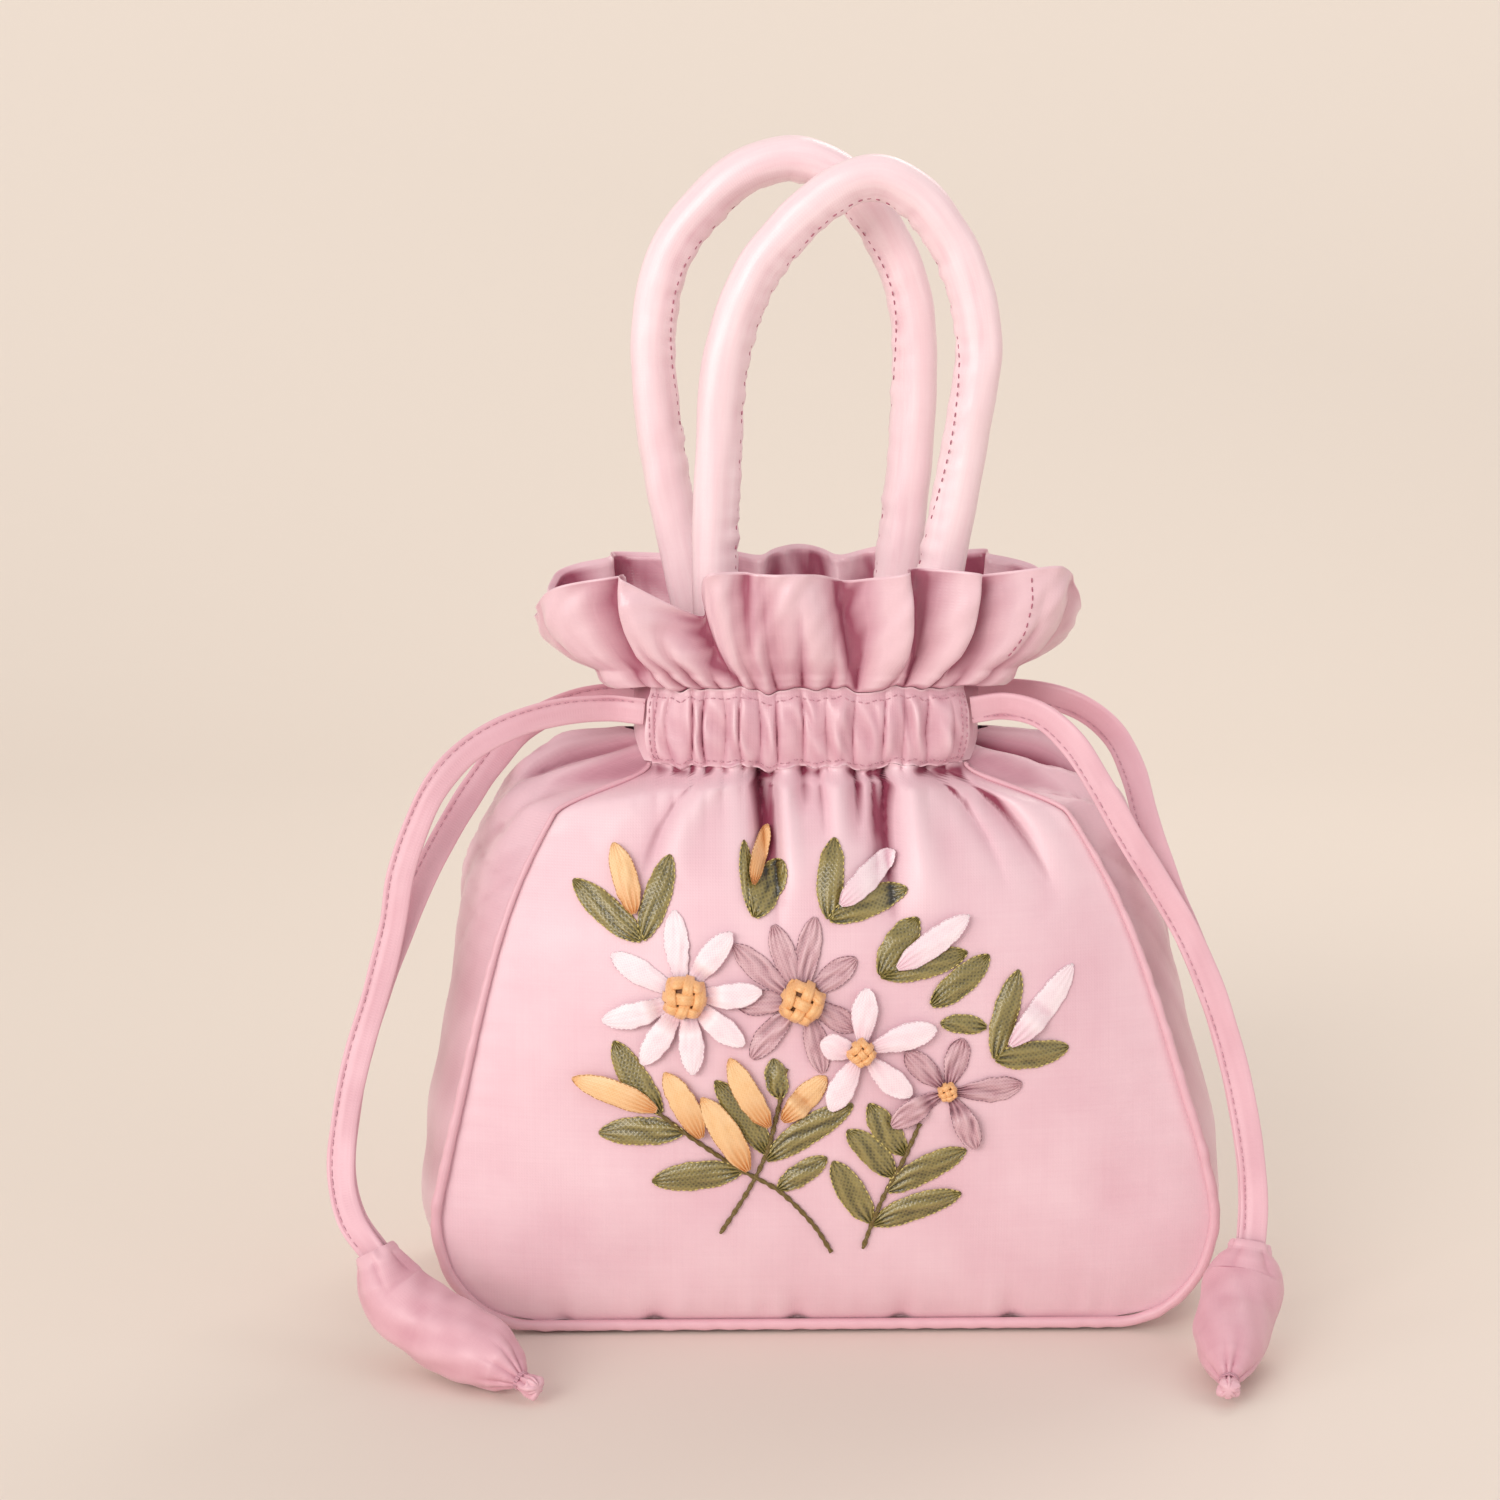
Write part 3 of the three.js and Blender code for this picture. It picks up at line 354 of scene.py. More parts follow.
def woven(name, light, deep, fold, thread, painted_gleam=None, root=None, bias=False, net=0.0, patch=26,
          streak=1, slub=0.20, relief=0.00003, roughness=0.40, specular=0.5, coat=0.06, sheen=0.25,
          sheen_tint="#FFEDF2"):
    """Cloth of crossing threads: two bands at right angles, thick-and-thin threads and soft clouds.

    thread is the period drawn and patch the size of a cloud, in millimetres, and streak how many
    times longer a cloud is along the cloth's first direction. bias turns the weave to 45 degrees,
    and net is how far its lines show in the colour. The colours are light and deep in the clouds,
    fold in hollows, as painted shade, gleam on ridges (light where none is given), as a painted
    highlight, and root over the first millimetres of a ribbon.
    """
    material, tree = blank(name)
    cloth = add(tree, "ShaderNodeTexCoord").outputs["UV"]
    turned = add(tree, "ShaderNodeMapping", {"Vector": cloth, "Rotation": (0, 0, 0.785 if bias else 0)})
    warp, weft = [add(tree, "ShaderNodeTexWave", {
        "Vector": turned.outputs["Vector"], "Scale": 0.314 / (thread * MM), "Distortion": 0.6,
        "Detail": 1.0, "Detail Scale": 1.5,
    }, bands_direction=direction).outputs["Fac"] for direction in ("X", "Y")]
    grid = add(tree, "ShaderNodeMath", {0: warp, 1: weft}, operation="MAXIMUM").outputs[0]
    fine = {"Scale": 1.0, "Detail": 2.0, "Roughness": 0.6}
    broad = {"Scale": 1 / (patch * MM), "Detail": 3.0, "Roughness": 0.5}
    noises = []
    for stretch, grain in (((30, 1400, 1), fine), ((1400, 30, 1), fine), ((1 / streak, 1, 1), broad)):
        drawn = add(tree, "ShaderNodeMapping", {"Vector": cloth, "Scale": stretch}).outputs["Vector"]
        noises.append(add(tree, "ShaderNodeTexNoise", {"Vector": drawn, **grain}).outputs["Fac"])
    warp_slubs, weft_slubs, clouds = noises
    threads = add(tree, "ShaderNodeMath", {0: warp_slubs, 1: weft_slubs}, operation="ADD").outputs[0]
    mixed, height = [add(tree, "ShaderNodeMath", {
        0: threads, 1: share, 2: base,
    }, operation="MULTIPLY_ADD").outputs[0] for share, base in ((slub, clouds), (0.25, grid))]
    netted = add(tree, "ShaderNodeMath", {0: grid, 1: net, 2: mixed}, operation="MULTIPLY_ADD")
    tone = add(tree, "ShaderNodeMapRange", {
        "Value": netted.outputs[0], "From Min": slub + 0.25 + 0.3 * net, "From Max": slub + 0.75 + 0.9 * net,
    })
    colour = add(tree, "ShaderNodeMix", {
        "Factor": tone.outputs["Result"], "A": linear(deep), "B": linear(light),
    }, data_type="RGBA")
    # Painted shade and painted highlight: the fold colour is mixed in where the hollow mask is high, in the
    # cloth's hollows, and the gleam colour, or the light one, where it is low, on ridges.
    hollow = add(tree, "ShaderNodeAttribute", attribute_name="hollow").outputs["Fac"]
    layers = [(hollow, 0.52, 0.95, 0.0, 1.0, fold), (hollow, 0.48, 0.05, 0.0, 0.7, painted_gleam or light)]
    if root:
        along = add(tree, "ShaderNodeSeparateXYZ", {"Vector": cloth}).outputs["X"]
        layers.insert(0, (along, 0.001, 0.011, 0.85, 0.0, root))
    for source, start, end, at_start, at_end, code in layers:
        share = add(tree, "ShaderNodeMapRange", {
            "Value": source, "From Min": start, "From Max": end, "To Min": at_start, "To Max": at_end,
        })
        colour = add(tree, "ShaderNodeMix", {
            "Factor": share.outputs["Result"], "A": colour.outputs["Result"], "B": linear(code),
        }, data_type="RGBA")
    bump = add(tree, "ShaderNodeBump", {"Height": height, "Strength": 0.6, "Distance": relief})
    uneven = add(tree, "ShaderNodeMapRange", {
        "Value": threads, "From Min": 0.7, "From Max": 1.3,
        "To Min": roughness - 0.04, "To Max": roughness + 0.06,
    })
    surface = add(tree, "ShaderNodeBsdfPrincipled", {
        "Base Color": colour.outputs["Result"], "Roughness": uneven.outputs["Result"],
        "Specular IOR Level": specular, "Sheen Weight": sheen, "Sheen Roughness": 0.35,
        "Sheen Tint": linear(sheen_tint), "Normal": bump.outputs["Normal"],
        "Coat Weight": coat, "Coat Roughness": 0.3,
    })
    add(tree, "ShaderNodeOutputMaterial", {"Surface": surface.outputs["BSDF"]})
    return material


# Every cloth below gets painted light: its fourth colour is painted shade, mixed in over its hollows, and
# its gleam colour, or its light colour where none is given, is a painted highlight over its ridges.
# Silk satin, woven with long floats: a broad soft gleam over a smooth face, with a faint line of
# threads. The real threads are about 0.12 mm apart and are drawn at 0.7 mm, so that they show.
body_satin = woven("woven silk satin", "#EECBD5", "#E2B6C3", "#8A3A52", 0.7, painted_gleam="#F2D5DE")
# The same satin cut in strips for the frill and the casings, crushed by the gathers.
strip_satin = woven("gathered silk satin", "#DEB0BC", "#CC97A8", "#A2566D", 0.7, painted_gleam="#F3D3DC",
                    roughness=0.32, coat=0.16, patch=5, streak=6)
# The satin of the side band, coloured deeper than the same satin on the panels: painted shade on the sides
# of the bag.
side_satin = woven("silk satin of the sides, painted deeper", "#D09CAB", "#BF8899", "#8A3A52", 0.7, painted_gleam="#F0CFD9",
                   roughness=0.35, coat=0.12, patch=12, streak=3)
# Satin drawn over a soft filling: a lighter pink, pulled smooth, so it gleams more.
handle_satin = woven("filled silk satin", "#FCE4EA", "#DFA5B6", "#C97F95", 0.7, roughness=0.33, coat=0.14,
                     slub=0.10, patch=2.6, streak=11)
# Folded satin tape, pressed and edge-stitched: a deeper pink, duller along the fold.
tape_satin = woven("folded satin tape", "#E6B8C4", "#DAA4B2", "#B4677D", 0.7, patch=3, streak=8)
# Silk ribbon for petals, almost white: a sheer net, pinker at the root where it is doubled.
pale_silk = woven("white-pink silk ribbon", "#FBEDF2", "#EDCFDA", "#DDB2C1", 0.6, bias=True, roughness=0.44,
                  coat=0.03, relief=0.00005, net=0.35, root="#E6B9C8", patch=5)
# Mauve silk ribbon: thin and crushed, so it gleams along its creases, from its gloss and from a painted
# highlight on their ridges.
mauve_silk = woven("mauve silk ribbon", "#DDB8BF", "#B4818D", "#734252", 0.6, bias=True, roughness=0.34,
                   relief=0.00007, net=0.35, root="#9A6474", patch=5)
# Apricot silk ribbon, dyed from amber at the root to straw at the tip.
apricot_silk = woven("apricot silk ribbon", "#F6D0A0", "#E9B478", "#C98448", 0.6, bias=True, roughness=0.38,
                     sheen_tint="#FFF0D8", relief=0.00006, net=0.3, root="#CF8645", patch=5)
# The same ribbon knotted in the flowers' middles, coloured deeper than on the petals and darkest in its
# hollows: painted shade for its folds.
knot_silk = woven("knotted apricot ribbon", "#F5C18A", "#DD9C5E", "#7E4518", 0.6, bias=True, roughness=0.36,
                  sheen_tint="#FFF0D8", relief=0.00006, net=0.3, slub=0.4, patch=4)
# Painted shade: the dome inside the knots is coloured dark brown to stand for the shade between the strands.
knot_shade = woven("shaded apricot ribbon", "#8E5522", "#6E3C14", "#4A260C", 0.6, bias=True, roughness=0.5,
                   coat=0.0, sheen=0.0, net=0.3, patch=4)
# Olive gauze ribbon: a net of glossy threads over a dark ground. The real threads are 0.6 mm
# apart and are drawn at 0.9 mm, so that they show.
olive_gauze = woven("olive gauze ribbon", "#877B43", "#3D3616", "#1E1909", 0.9, painted_gleam="#A19154", bias=True,
                    roughness=0.30, sheen_tint="#F0E8A0", relief=0.00012, net=0.7, slub=0.3, patch=4,
                    specular=0.8, coat=0.2)
# The satin of the pods and of the piping: a deeper pink, drawn smooth over the filling.
pod_satin = woven("stuffed silk satin", "#DCA9B6", "#CF96A5", "#A45A71", 0.7, painted_gleam="#E9BDC8",
                  roughness=0.42, coat=0.04, patch=9)


def thread(name, code, roughness=0.45):
    """Twisted sewing thread: slanting bands on one colour, 0.5 mm apart."""
    material, tree = blank(name)
    where = add(tree, "ShaderNodeTexCoord").outputs["Object"]
    twist = add(tree, "ShaderNodeTexWave", {
        "Vector": where, "Scale": 0.314 / (0.5 * MM), "Distortion": 0.2,
    }, bands_direction="DIAGONAL").outputs["Fac"]
    bump = add(tree, "ShaderNodeBump", {"Height": twist, "Strength": 0.5, "Distance": 0.0001})
    # Painted shade: the grooves of the twist are coloured 30% darker than the thread, on top of the bump
    # that makes them.
    shade = add(tree, "ShaderNodeMix", {
        "Factor": twist, "A": (*[0.7 * part for part in linear(code)[:3]], 1.0), "B": linear(code),
    }, data_type="RGBA")
    surface = add(tree, "ShaderNodeBsdfPrincipled", {
        "Base Color": shade.outputs["Result"], "Roughness": roughness, "Normal": bump.outputs["Normal"],
        "Sheen Weight": 0.2,
    })
    add(tree, "ShaderNodeOutputMaterial", {"Surface": surface.outputs["BSDF"]})
    return material


# Polyester sewing thread on the seams: a deeper rose than the cloth, so the stitches show.
rose_thread = thread("rose sewing thread", "#D79EAF")
# The darker rose thread of the handles' seams.
seam_thread = thread("deep rose sewing thread", "#BC6A82")
# The looped woven edge of the olive ribbon.
gold_thread = thread("golden looped ribbon edge", "#DCC878")
# Stranded embroidery thread of the stems.
stem_thread = thread("dark olive embroidery thread", "#75602A")
# Edge threads of the pale, the mauve and the apricot ribbon.
pale_thread = thread("pink ribbon edge thread", "#E9C3D0")
mauve_thread = thread("plum ribbon edge thread", "#8E6072")
apricot_thread = thread("amber ribbon edge thread", "#C88A48")

# The camera sees a square frame with a focal length of 3354 pixels of the photo's 1500
eye = bpy.data.cameras.new("camera")
eye.lens = 80.5
eye.sensor_width = 36
eye.clip_start = 0.05
camera = placed("camera", eye)
camera.location = (-0.035, -0.850, 0.280)
camera.rotation_euler = (np.radians(90 - 9.2), 0, -np.radians(1.13))
bpy.context.scene.camera = camera

# The drawstring tapes, from the end of a casing to the top of a pod
TAPES = {
    "cord_left_front": [
        (-45.1, -15.1, 154.6), (-54.5, -14.4, 155.4), (-67, -19, 155), (-79, -23.5, 152),
        (-89, -27, 146.5), (-96.5, -30, 138.5), (-101.5, -32, 128.5), (-105.5, -34, 116.5),
        (-107.5, -36, 104), (-111.5, -39.5, 88), (-116, -43, 73), (-119, -47, 58), (-119.8, -51, 45),
        (-117, -56, 35), (-110.8, -61.4, 27.6),
    ],
    "cord_left_back": [
        (-45.1, 15.1, 153.6), (-54.5, 14.4, 154.3), (-66, 10, 152.5), (-76.5, 4, 147.5),
        (-84.5, -4, 139.5), (-91.5, -13.5, 130), (-97.8, -22, 119.5), (-103.3, -28, 108.5),
        (-107.8, -34, 97), (-111.7, -36.3, 87), (-116, -39.8, 73), (-119, -43.8, 58), (-119.8, -47.8, 45),
        (-117, -52.8, 35), (-110.8, -58.3, 27.6),
    ],
    "cord_right_front": [
        (37.2, -15.1, 154.8), (46, -15.6, 155.8), (54.5, -20.5, 154), (62, -25.5, 147.5),
        (68.5, -29, 137.5), (75, -32, 126), (82.5, -34.5, 114), (89.5, -37, 102), (95, -39.5, 89.5),
        (99.5, -42, 76), (102.8, -45, 62), (105, -48, 48), (105.6, -51, 36), (104.6, -54.4, 25.8),
    ],
    "cord_right_back": [
        (37.2, 15.1, 154), (47, 13.8, 155.4), (58.5, 9, 155), (68, 5, 152), (75, -2, 146.5),
        (78.8, -11.5, 138.5), (81, -21.5, 128), (84.8, -29, 115), (89.9, -33.6, 102), (95, -36.3, 89.5),
        (99.5, -38.8, 76), (102.8, -41.8, 62), (105, -44.8, 48), (105.6, -47.8, 36), (104.6, -51.2, 25.8),
    ],
}

PODS = {
    "pod_left": [(-110, -60.3, 26.6), (-105.5, -62.5, 18), (-95.5, -68, 11.6), (-83, -78.5, 8.4),
                 (-73.5, -87.5, 4.6), (-70, -91, 4.4)],
    "pod_right": [(104.3, -53.2, 24.6), (102.5, -56.5, 17), (98.6, -66.5, 11.4), (95.5, -80, 8.4),
                  (93.6, -91, 4.6), (92.9, -95.5, 4.4)],
}

# A pod's radius as a share of POD_RADIUS, at a share of the way along: full, tied, and a last
# tuft. The left one is a spindle, and the right one is widest at its top
POD_SWELLS = {
    "pod_left": [
        (0, 0.64), (0.04, 0.75), (0.10, 0.90), (0.20, 1.0), (0.38, 1.04), (0.55, 1.02), (0.70, 0.90),
        (0.80, 0.66), (0.86, 0.40), (0.90, 0.24), (0.94, 0.30), (0.975, 0.30), (1, 0.18),
    ],
    "pod_right": [
        (0, 0.64), (0.03, 0.84), (0.08, 1.0), (0.16, 1.06), (0.32, 1.04), (0.50, 0.99), (0.66, 0.87),
        (0.78, 0.64), (0.86, 0.38), (0.90, 0.22), (0.94, 0.28), (0.975, 0.28), (1, 0.16),
    ],
}


def tape(name, route, seed):
    """A flat section carried along a route, broad side square to Y.

    With c and s the cosine and sine round the section, the place across is half the width times
    c to the power 0.6. Half the thickness times s to the power 0.5 is the height, and it grows
    from the sewn edge to the folded edge. A groove runs along the seam, and both edges wander.
    """
    steps, sides = 260, 28
    centres, way, length = along_route(route, steps)
    broad = unit(np.cross(way, [0, 1, 0]))
    through = np.cross(way, broad)
    turn = 2 * np.pi * np.arange(sides) / sides
    cosine, sine = np.cos(turn), np.sin(turn)
    run = np.linspace(0, length, steps)[:, None]
    reach = np.sign(cosine) * np.abs(cosine) ** 0.6
    across = TAPE_WIDTH / 2 * reach * (0.97 + 0.03 * wander(run, 24, seed))
    fold = 0.62 + 0.34 * reach + 0.10 * wander(run, 15, seed + 1) * reach
    groove = 0.30 * bell(reach + 0.62, 0.10) + 0.16 * bell(reach - 0.25, 0.16)
    thick = np.sign(sine) * (TAPE_THICKNESS / 2 * fold * np.abs(sine) ** 0.5 - groove * np.abs(sine) ** 0.5)
    sway = 0.35 * wander(run, 40, seed + 2) * reach
    body = tube(centres, broad, through, across, thick + sway, run[:, 0])
    seam_across = -0.62 * TAPE_WIDTH / 2
    front = 0.62 * TAPE_THICKNESS / 2 * (0.62 - 0.21) - 0.02
    sides_of_seam = []
    for side in (-1, 1):
        lift = side * front + (0.35 * wander(run, 40, seed + 2) * -0.62)
        line = centres + seam_across * broad + lift * through
        sides_of_seam.append((dashes(line[4:-6], 2.4, 0.7, 0.17, seed), 1))
    made = piece(name + "_tape", [body, *sides_of_seam], [tape_satin, rose_thread], node=name)
    return made, centres, length


def pod(name, route, seed):
    """A round section carried along a bent axis, resting on the floor.

    The radius follows POD_SWELLS, and the top is a cup that the tapes' ends stand in. Pleats,
    which take a (1 - |sin(n turn)|^0.8) off it, draw it in towards both ends, with shallow
    creases between, and nothing goes below the floor. Three flat loops come out of the tie, each
    with the outline of a (1 - cos t) / 2 along it and b sin t across it.
    """
    steps, sides = 170, 108
    centres, way, length = along_route(route, steps)
    aside = unit(np.cross([0, 0, 1], way))
    up = np.cross(way, aside)
    share = np.linspace(0, 1, steps)[:, None]
    turn = full_turn(sides)
    swell = POD_RADIUS * share_curve(POD_SWELLS[name], share)
    near_tie = np.where(share < 0.9, bell(share - 0.90, 0.10), 1.0)
    near_top = bell(share, 0.10)
    lean = turn + 0.5 * share + 0.12 * wander(share, 0.5, seed)
    pleats = 0.26 * near_tie * (1 - np.abs(np.sin(4 * lean + 1.3 * wander(lean, 3.1, seed + 1))) ** 0.8)
    pleats = pleats + 0.12 * near_top * (1 - np.abs(np.sin(3 * lean + 1)) ** 0.7)
    past_tie = ramp(share - 0.91, 0.09)
    tuft = past_tie ** 0.7 * (0.14 * np.cos(3 * turn + seed) + 0.10 * np.cos(5 * turn + 2 * seed))
    creases = 0.022 * wander(2.2 * turn / np.pi + 1.4 * share, 0.9, seed + 2) * np.sin(np.pi * share)
    dents = 0.035 * wander(share * 3 + 0.4 * np.cos(turn), 0.9, seed + 3)
    radius = swell * (1 - pleats + tuft + creases + dents)
    across = radius * np.cos(turn)
    thick = radius * np.sin(turn) * 0.97
    cup = np.array([(0.1, 0.46), (-1.2, 0.47), (-2.2, 0.475), (-2.5, 0.50), (-2.2, 0.535), (-1.0, 0.58)])
    ruffle = 1 + 0.05 * np.cos(7 * turn + 2 * wander(turn, 3, seed))
    rim = POD_RADIUS * cup[:, 1:] * ruffle
    centres = np.concatenate([centres[0] + cup[:, :1] * way[0], centres])
    aside, up = [np.concatenate([np.tile(ways[0], (len(cup), 1)), ways]) for ways in (aside, up)]
    across = np.concatenate([rim * np.cos(turn), across])
    thick = np.concatenate([rim * np.sin(turn), thick])
    run = np.concatenate([cup[:, 0], length * share[:, 0]])
    points, quads, corner_uv = tube(centres, aside, up, across, thick, run)
    floor = 0.12 + 0.25 * np.exp(-np.maximum(points[:, 2], 0) / 1.5)
    points[:, 2] = np.where(points[:, 2] < 1.5, np.maximum(points[:, 2], floor), points[:, 2])
    tie_at = len(cup) + int(0.895 * steps)
    ring_turn = 2 * np.pi * np.arange(33)[:, None] / 32
    tie = 0.235 * POD_RADIUS * (np.cos(ring_turn) * aside[tie_at] + np.sin(ring_turn) * up[tie_at])
    wraps = []
    for step in (-1, 0, 1):
        ring = centres[tie_at + step] + tie
        wraps.append((stitches(ring[:-1], ring[1:] + 0.25 * (ring[1:] - ring[:-1]), 0.28), 1))
    tie_way = unit(centres[tie_at + 1] - centres[tie_at])
    swing = np.linspace(0, 2 * np.pi, 49)[:, None]
    flat = full_turn(14)
    loops = []
    for heading, reach in ((seed, 4.2), (seed + 2.3, 3.6), (seed + 4.1, 4.6)):
        outward = np.cos(heading) * aside[tie_at] + np.sin(heading) * up[tie_at]
        lengthwise = reach * (0.9 * tie_way + 0.45 * outward)
        crosswise = unit(np.cross(tie_way, outward))
        line = centres[tie_at] + (1 - np.cos(swing)) / 2 * lengthwise + 1.25 * np.sin(swing) * crosswise
        face = np.tile(unit(np.cross(lengthwise, crosswise)), (len(line), 1))
        edge = np.cross(unit(np.gradient(line, axis=0)), face)
        width = 1.15 * (0.55 + 0.45 * np.sin(swing / 2))
        loops.append(tube(line, face, edge, width * np.cos(flat), 0.42 * np.sin(flat), 2 * swing[:, 0]))
    made = piece(name + "_satin", [(points, quads, corner_uv), *wraps, *loops], [pod_satin, rose_thread],
                 node=name, crease=80)
    return made


pods = {name: pod(name, route, 11 + index) for index, (name, route) in enumerate(PODS.items())}
for number, (node_name, route) in enumerate(TAPES.items()):
    strand, line, line_length = tape(node_name, route, 30 + 7 * number)

# Upper body, from the corner up: height, seam, middle, rise, depth and swell, as shares
PROFILE = [
    (0.318, 0.972, 0.990, 0.00, 0.995, 0.92), (0.438, 0.925, 0.957, 0.00, 0.975, 1.00),
    (0.580, 0.870, 0.912, 0.00, 0.925, 1.05), (0.707, 0.813, 0.882, 0.00, 0.855, 1.04),
    (0.784, 0.769, 0.865, 0.00, 0.800, 0.96), (0.855, 0.718, 0.828, 0.02, 0.740, 0.80),
    (0.919, 0.663, 0.768, 0.15, 0.675, 0.54), (0.965, 0.620, 0.685, 0.50, 0.620, 0.30),
    (0.989, 0.560, 0.590, 0.85, 0.585, 0.15), (1.000, 0.487, 0.445, 1.00, 0.565, 0.07),
]
CORNER_ANGLES = [0, 25, 45, 66, 90]
CORNER_SWELLS = [0, 0.16, 0.40, 0.62, 0.80]
PIPING_SEAT = (PIPING_RADIUS + CLEARANCE) / np.sqrt(2)
SEAM_BASE = PIPING_SEAT + PIPING_RADIUS + CLEARANCE
SEAM_FLAT = SEAM_HALF_WIDTH - CORNER_WIDTH
# How far below the neck the cloth starts to be drawn in, and where the seams meet the neck: a
# share of its half width, and the depth that the oblong has there
DRAW_MIDDLE = 4
DRAW_CORNER = 7
NECK_CORNER = 0.90
NECK_CORNER_DEPTH = NECK_HALF_DEPTH * (1 - NECK_CORNER ** 3) ** (1 / 3)


def body_rows():
    """Rows z, seam, middle, middle height, depth, swell and centre, from the base up.

    A corner row turns a quarter ellipse from the base into the side, and the others are the
    shares of PROFILE times their lengths, with the centre leaning evenly to the left.
    """
    turn = np.radians(CORNER_ANGLES)
    up, out = 1 - np.cos(turn), np.sin(turn)
    flat = SEAM_FLAT + CLEARANCE
    corner = np.stack([
        SEAM_BASE + CORNER_HEIGHT * up, SEAM_FLAT + CORNER_WIDTH * out,
        flat + (BODY_HALF_WIDTH - flat) * out, (SEAM_BASE + CORNER_HEIGHT) * up,
        SEAM_HALF_DEPTH * (0.95 + 0.05 * out), BELLY_SWELL * np.array(CORNER_SWELLS), 0 * up,
    ], axis=1)
    height, seam, middle, rise, depth, swell = np.array(PROFILE).T
    upper = np.stack([
        BODY_HEIGHT * height, SEAM_HALF_WIDTH * seam, BODY_HALF_WIDTH * middle,
        BODY_HEIGHT * height + SHOULDER_RISE * rise, SEAM_HALF_DEPTH * depth, BELLY_SWELL * swell,
        -BODY_LEAN * (height - height[0]) / (1 - height[0]),
    ], axis=1)
    return np.vstack([corner, upper])


BODY_ROWS = body_rows()
ROW_PLACES = np.linspace(0, len(BODY_ROWS) - 1, 1200)
ROW_HEIGHTS = smooth_through(BODY_ROWS, ROW_PLACES)[:, 0]

# Folds of a panel: x and z of the top, x and z of the low end, sideways bow, width and depth inward
FRONT_CREASES = [
    (-16.4, 142, -14.5, 110, 0.0, 2.7, 11.0), (-22.6, 142, -39.0, 118, 4.5, 4.2, -4.2),
    (-10.4, 142, -9.0, 112, 0.0, 3.2, -3.4), (-30.8, 142, -48.0, 133, 1.5, 2.6, 5.6),
    (-39.5, 142, -55.0, 135, 0.5, 2.3, 4.2), (-35.2, 142, -58.0, 124, 3.0, 4.5, -3.0),
    (-5.2, 142, -5.0, 131, 0.0, 2.2, 4.0), (7.6, 142, 8.4, 124, 0.0, 2.3, 5.4),
    (15.0, 142, 17.0, 103, -1.0, 2.8, 6.2), (2.2, 142, 3.6, 108, 0.0, 4.0, -2.8),
    (20.6, 142, 28.0, 106, -1.0, 4.4, -3.8), (26.5, 142, 58.0, 109, 5.0, 3.0, 7.0),
    (31.6, 142, 63.0, 110, 7.5, 4.0, -4.4), (36.0, 142, 64.0, 122, 3.0, 2.8, 5.2),
    (22.8, 142, 45.0, 112, 4.0, 1.7, 3.4), (33.6, 142, 70.0, 119, 6.0, 1.8, 3.8),
    (-26.4, 142, -46.0, 114, 4.0, 1.7, 3.2), (-43.0, 142, -66.0, 127, 2.0, 1.9, 3.2),
    (11.6, 142, 12.6, 112, 0.0, 1.6, 3.4), (-13.2, 142, -12.0, 103, 0.0, 1.3, 3.6),
    (-1.6, 142, 0.4, 121, 0.0, 1.5, 2.8), (39.5, 142, 72.0, 130, 2.0, 2.0, 3.4),
]
BACK_CREASES = [
    (-38.0, 142, -56.0, 122, 2.0, 3.2, 3.8), (-27.0, 142, -36.0, 114, 1.0, 4.2, -2.8),
    (-20.0, 142, -24.0, 108, 0.0, 3.4, 5.6), (-9.0, 142, -9.0, 116, 0.0, 4.0, -2.6),
    (-2.0, 142, 0.0, 104, 0.0, 3.2, 4.8), (9.0, 142, 13.0, 116, 1.0, 4.2, -2.8),
    (17.0, 142, 26.0, 110, -1.0, 3.4, 5.0), (25.0, 142, 44.0, 116, -2.0, 4.6, -2.8),
    (32.0, 142, 55.0, 120, -2.0, 3.0, 4.0),
]
# Where the base seam pinches the panels, by x
BASE_PINCHES = [-66, -43, -7, 19, 47]
# Where the drawstring pinches the cloth round the neck, by x
FRONT_PINCHES = [
    -47, -42, -37.9, -33.5, -29.8, -25.6, -20.7, -16.7, -11.8, -5.6, 1, 7.7, 14.8, 19.5, 25.6, 30.6, 35, 40,
]
BACK_PINCHES = [-47, -41.5, -36, -31, -27, -22, -17.5, -12, -7, -3, 2, 7, 11, 16.5, 21, 26, 31.5, 36, 40]


def gathers(side):
    """The folds and the pinches of the front, which is side -1, or of the back, side 1."""
    return (FRONT_CREASES, FRONT_PINCHES) if side < 0 else (BACK_CREASES, BACK_PINCHES)


def creases(x, z, table):
    """Depth of folds that run down from the neck.

    A fold's line is straight from its top to its low end, bowed sideways by bow * 4 t (1 - t).
    Across it a ridge is exp(-(off / width)^2), and a hollow, which is sharper, is
    exp(-|off / width|^1.3). Both are wider downwards and shallower as 1 - t^1.6.
    """
    depth = np.zeros(np.broadcast(x, z).shape)
    for top_x, top_z, low_x, low_z, bow, width, deep in table:
        run = np.array([low_x - top_x, low_z - top_z])
        size = np.hypot(*run)
        t = ((x - top_x) * run[0] + (z - top_z) * run[1]) / size ** 2
        off = ((x - top_x) * run[1] - (z - top_z) * run[0]) / size
        inside = np.clip(t, 0, 1)
        off = off + np.sign(run[0]) * bow * 4 * inside * (1 - inside)
        fade = 1 - inside ** 1.6
        across = np.abs(off) / (width * (0.75 + 0.7 * inside))
        depth = depth + deep * fade * np.exp(-across ** (1.3 if deep > 0 else 2.0))
    return depth


def drawn_in(z, across):
    """How far the cloth is drawn in to the oblong of the neck, 0 to 1: s^2 (3 - 2 s), where s goes
    from 0 to 1 over the last 4 + 7 |across|^3 millimetres below the neck."""
    span = DRAW_MIDDLE + DRAW_CORNER * np.abs(across) ** 3
    s = ramp(z - (BODY_HEIGHT - span), span)
    return s * s * (3 - 2 * s)


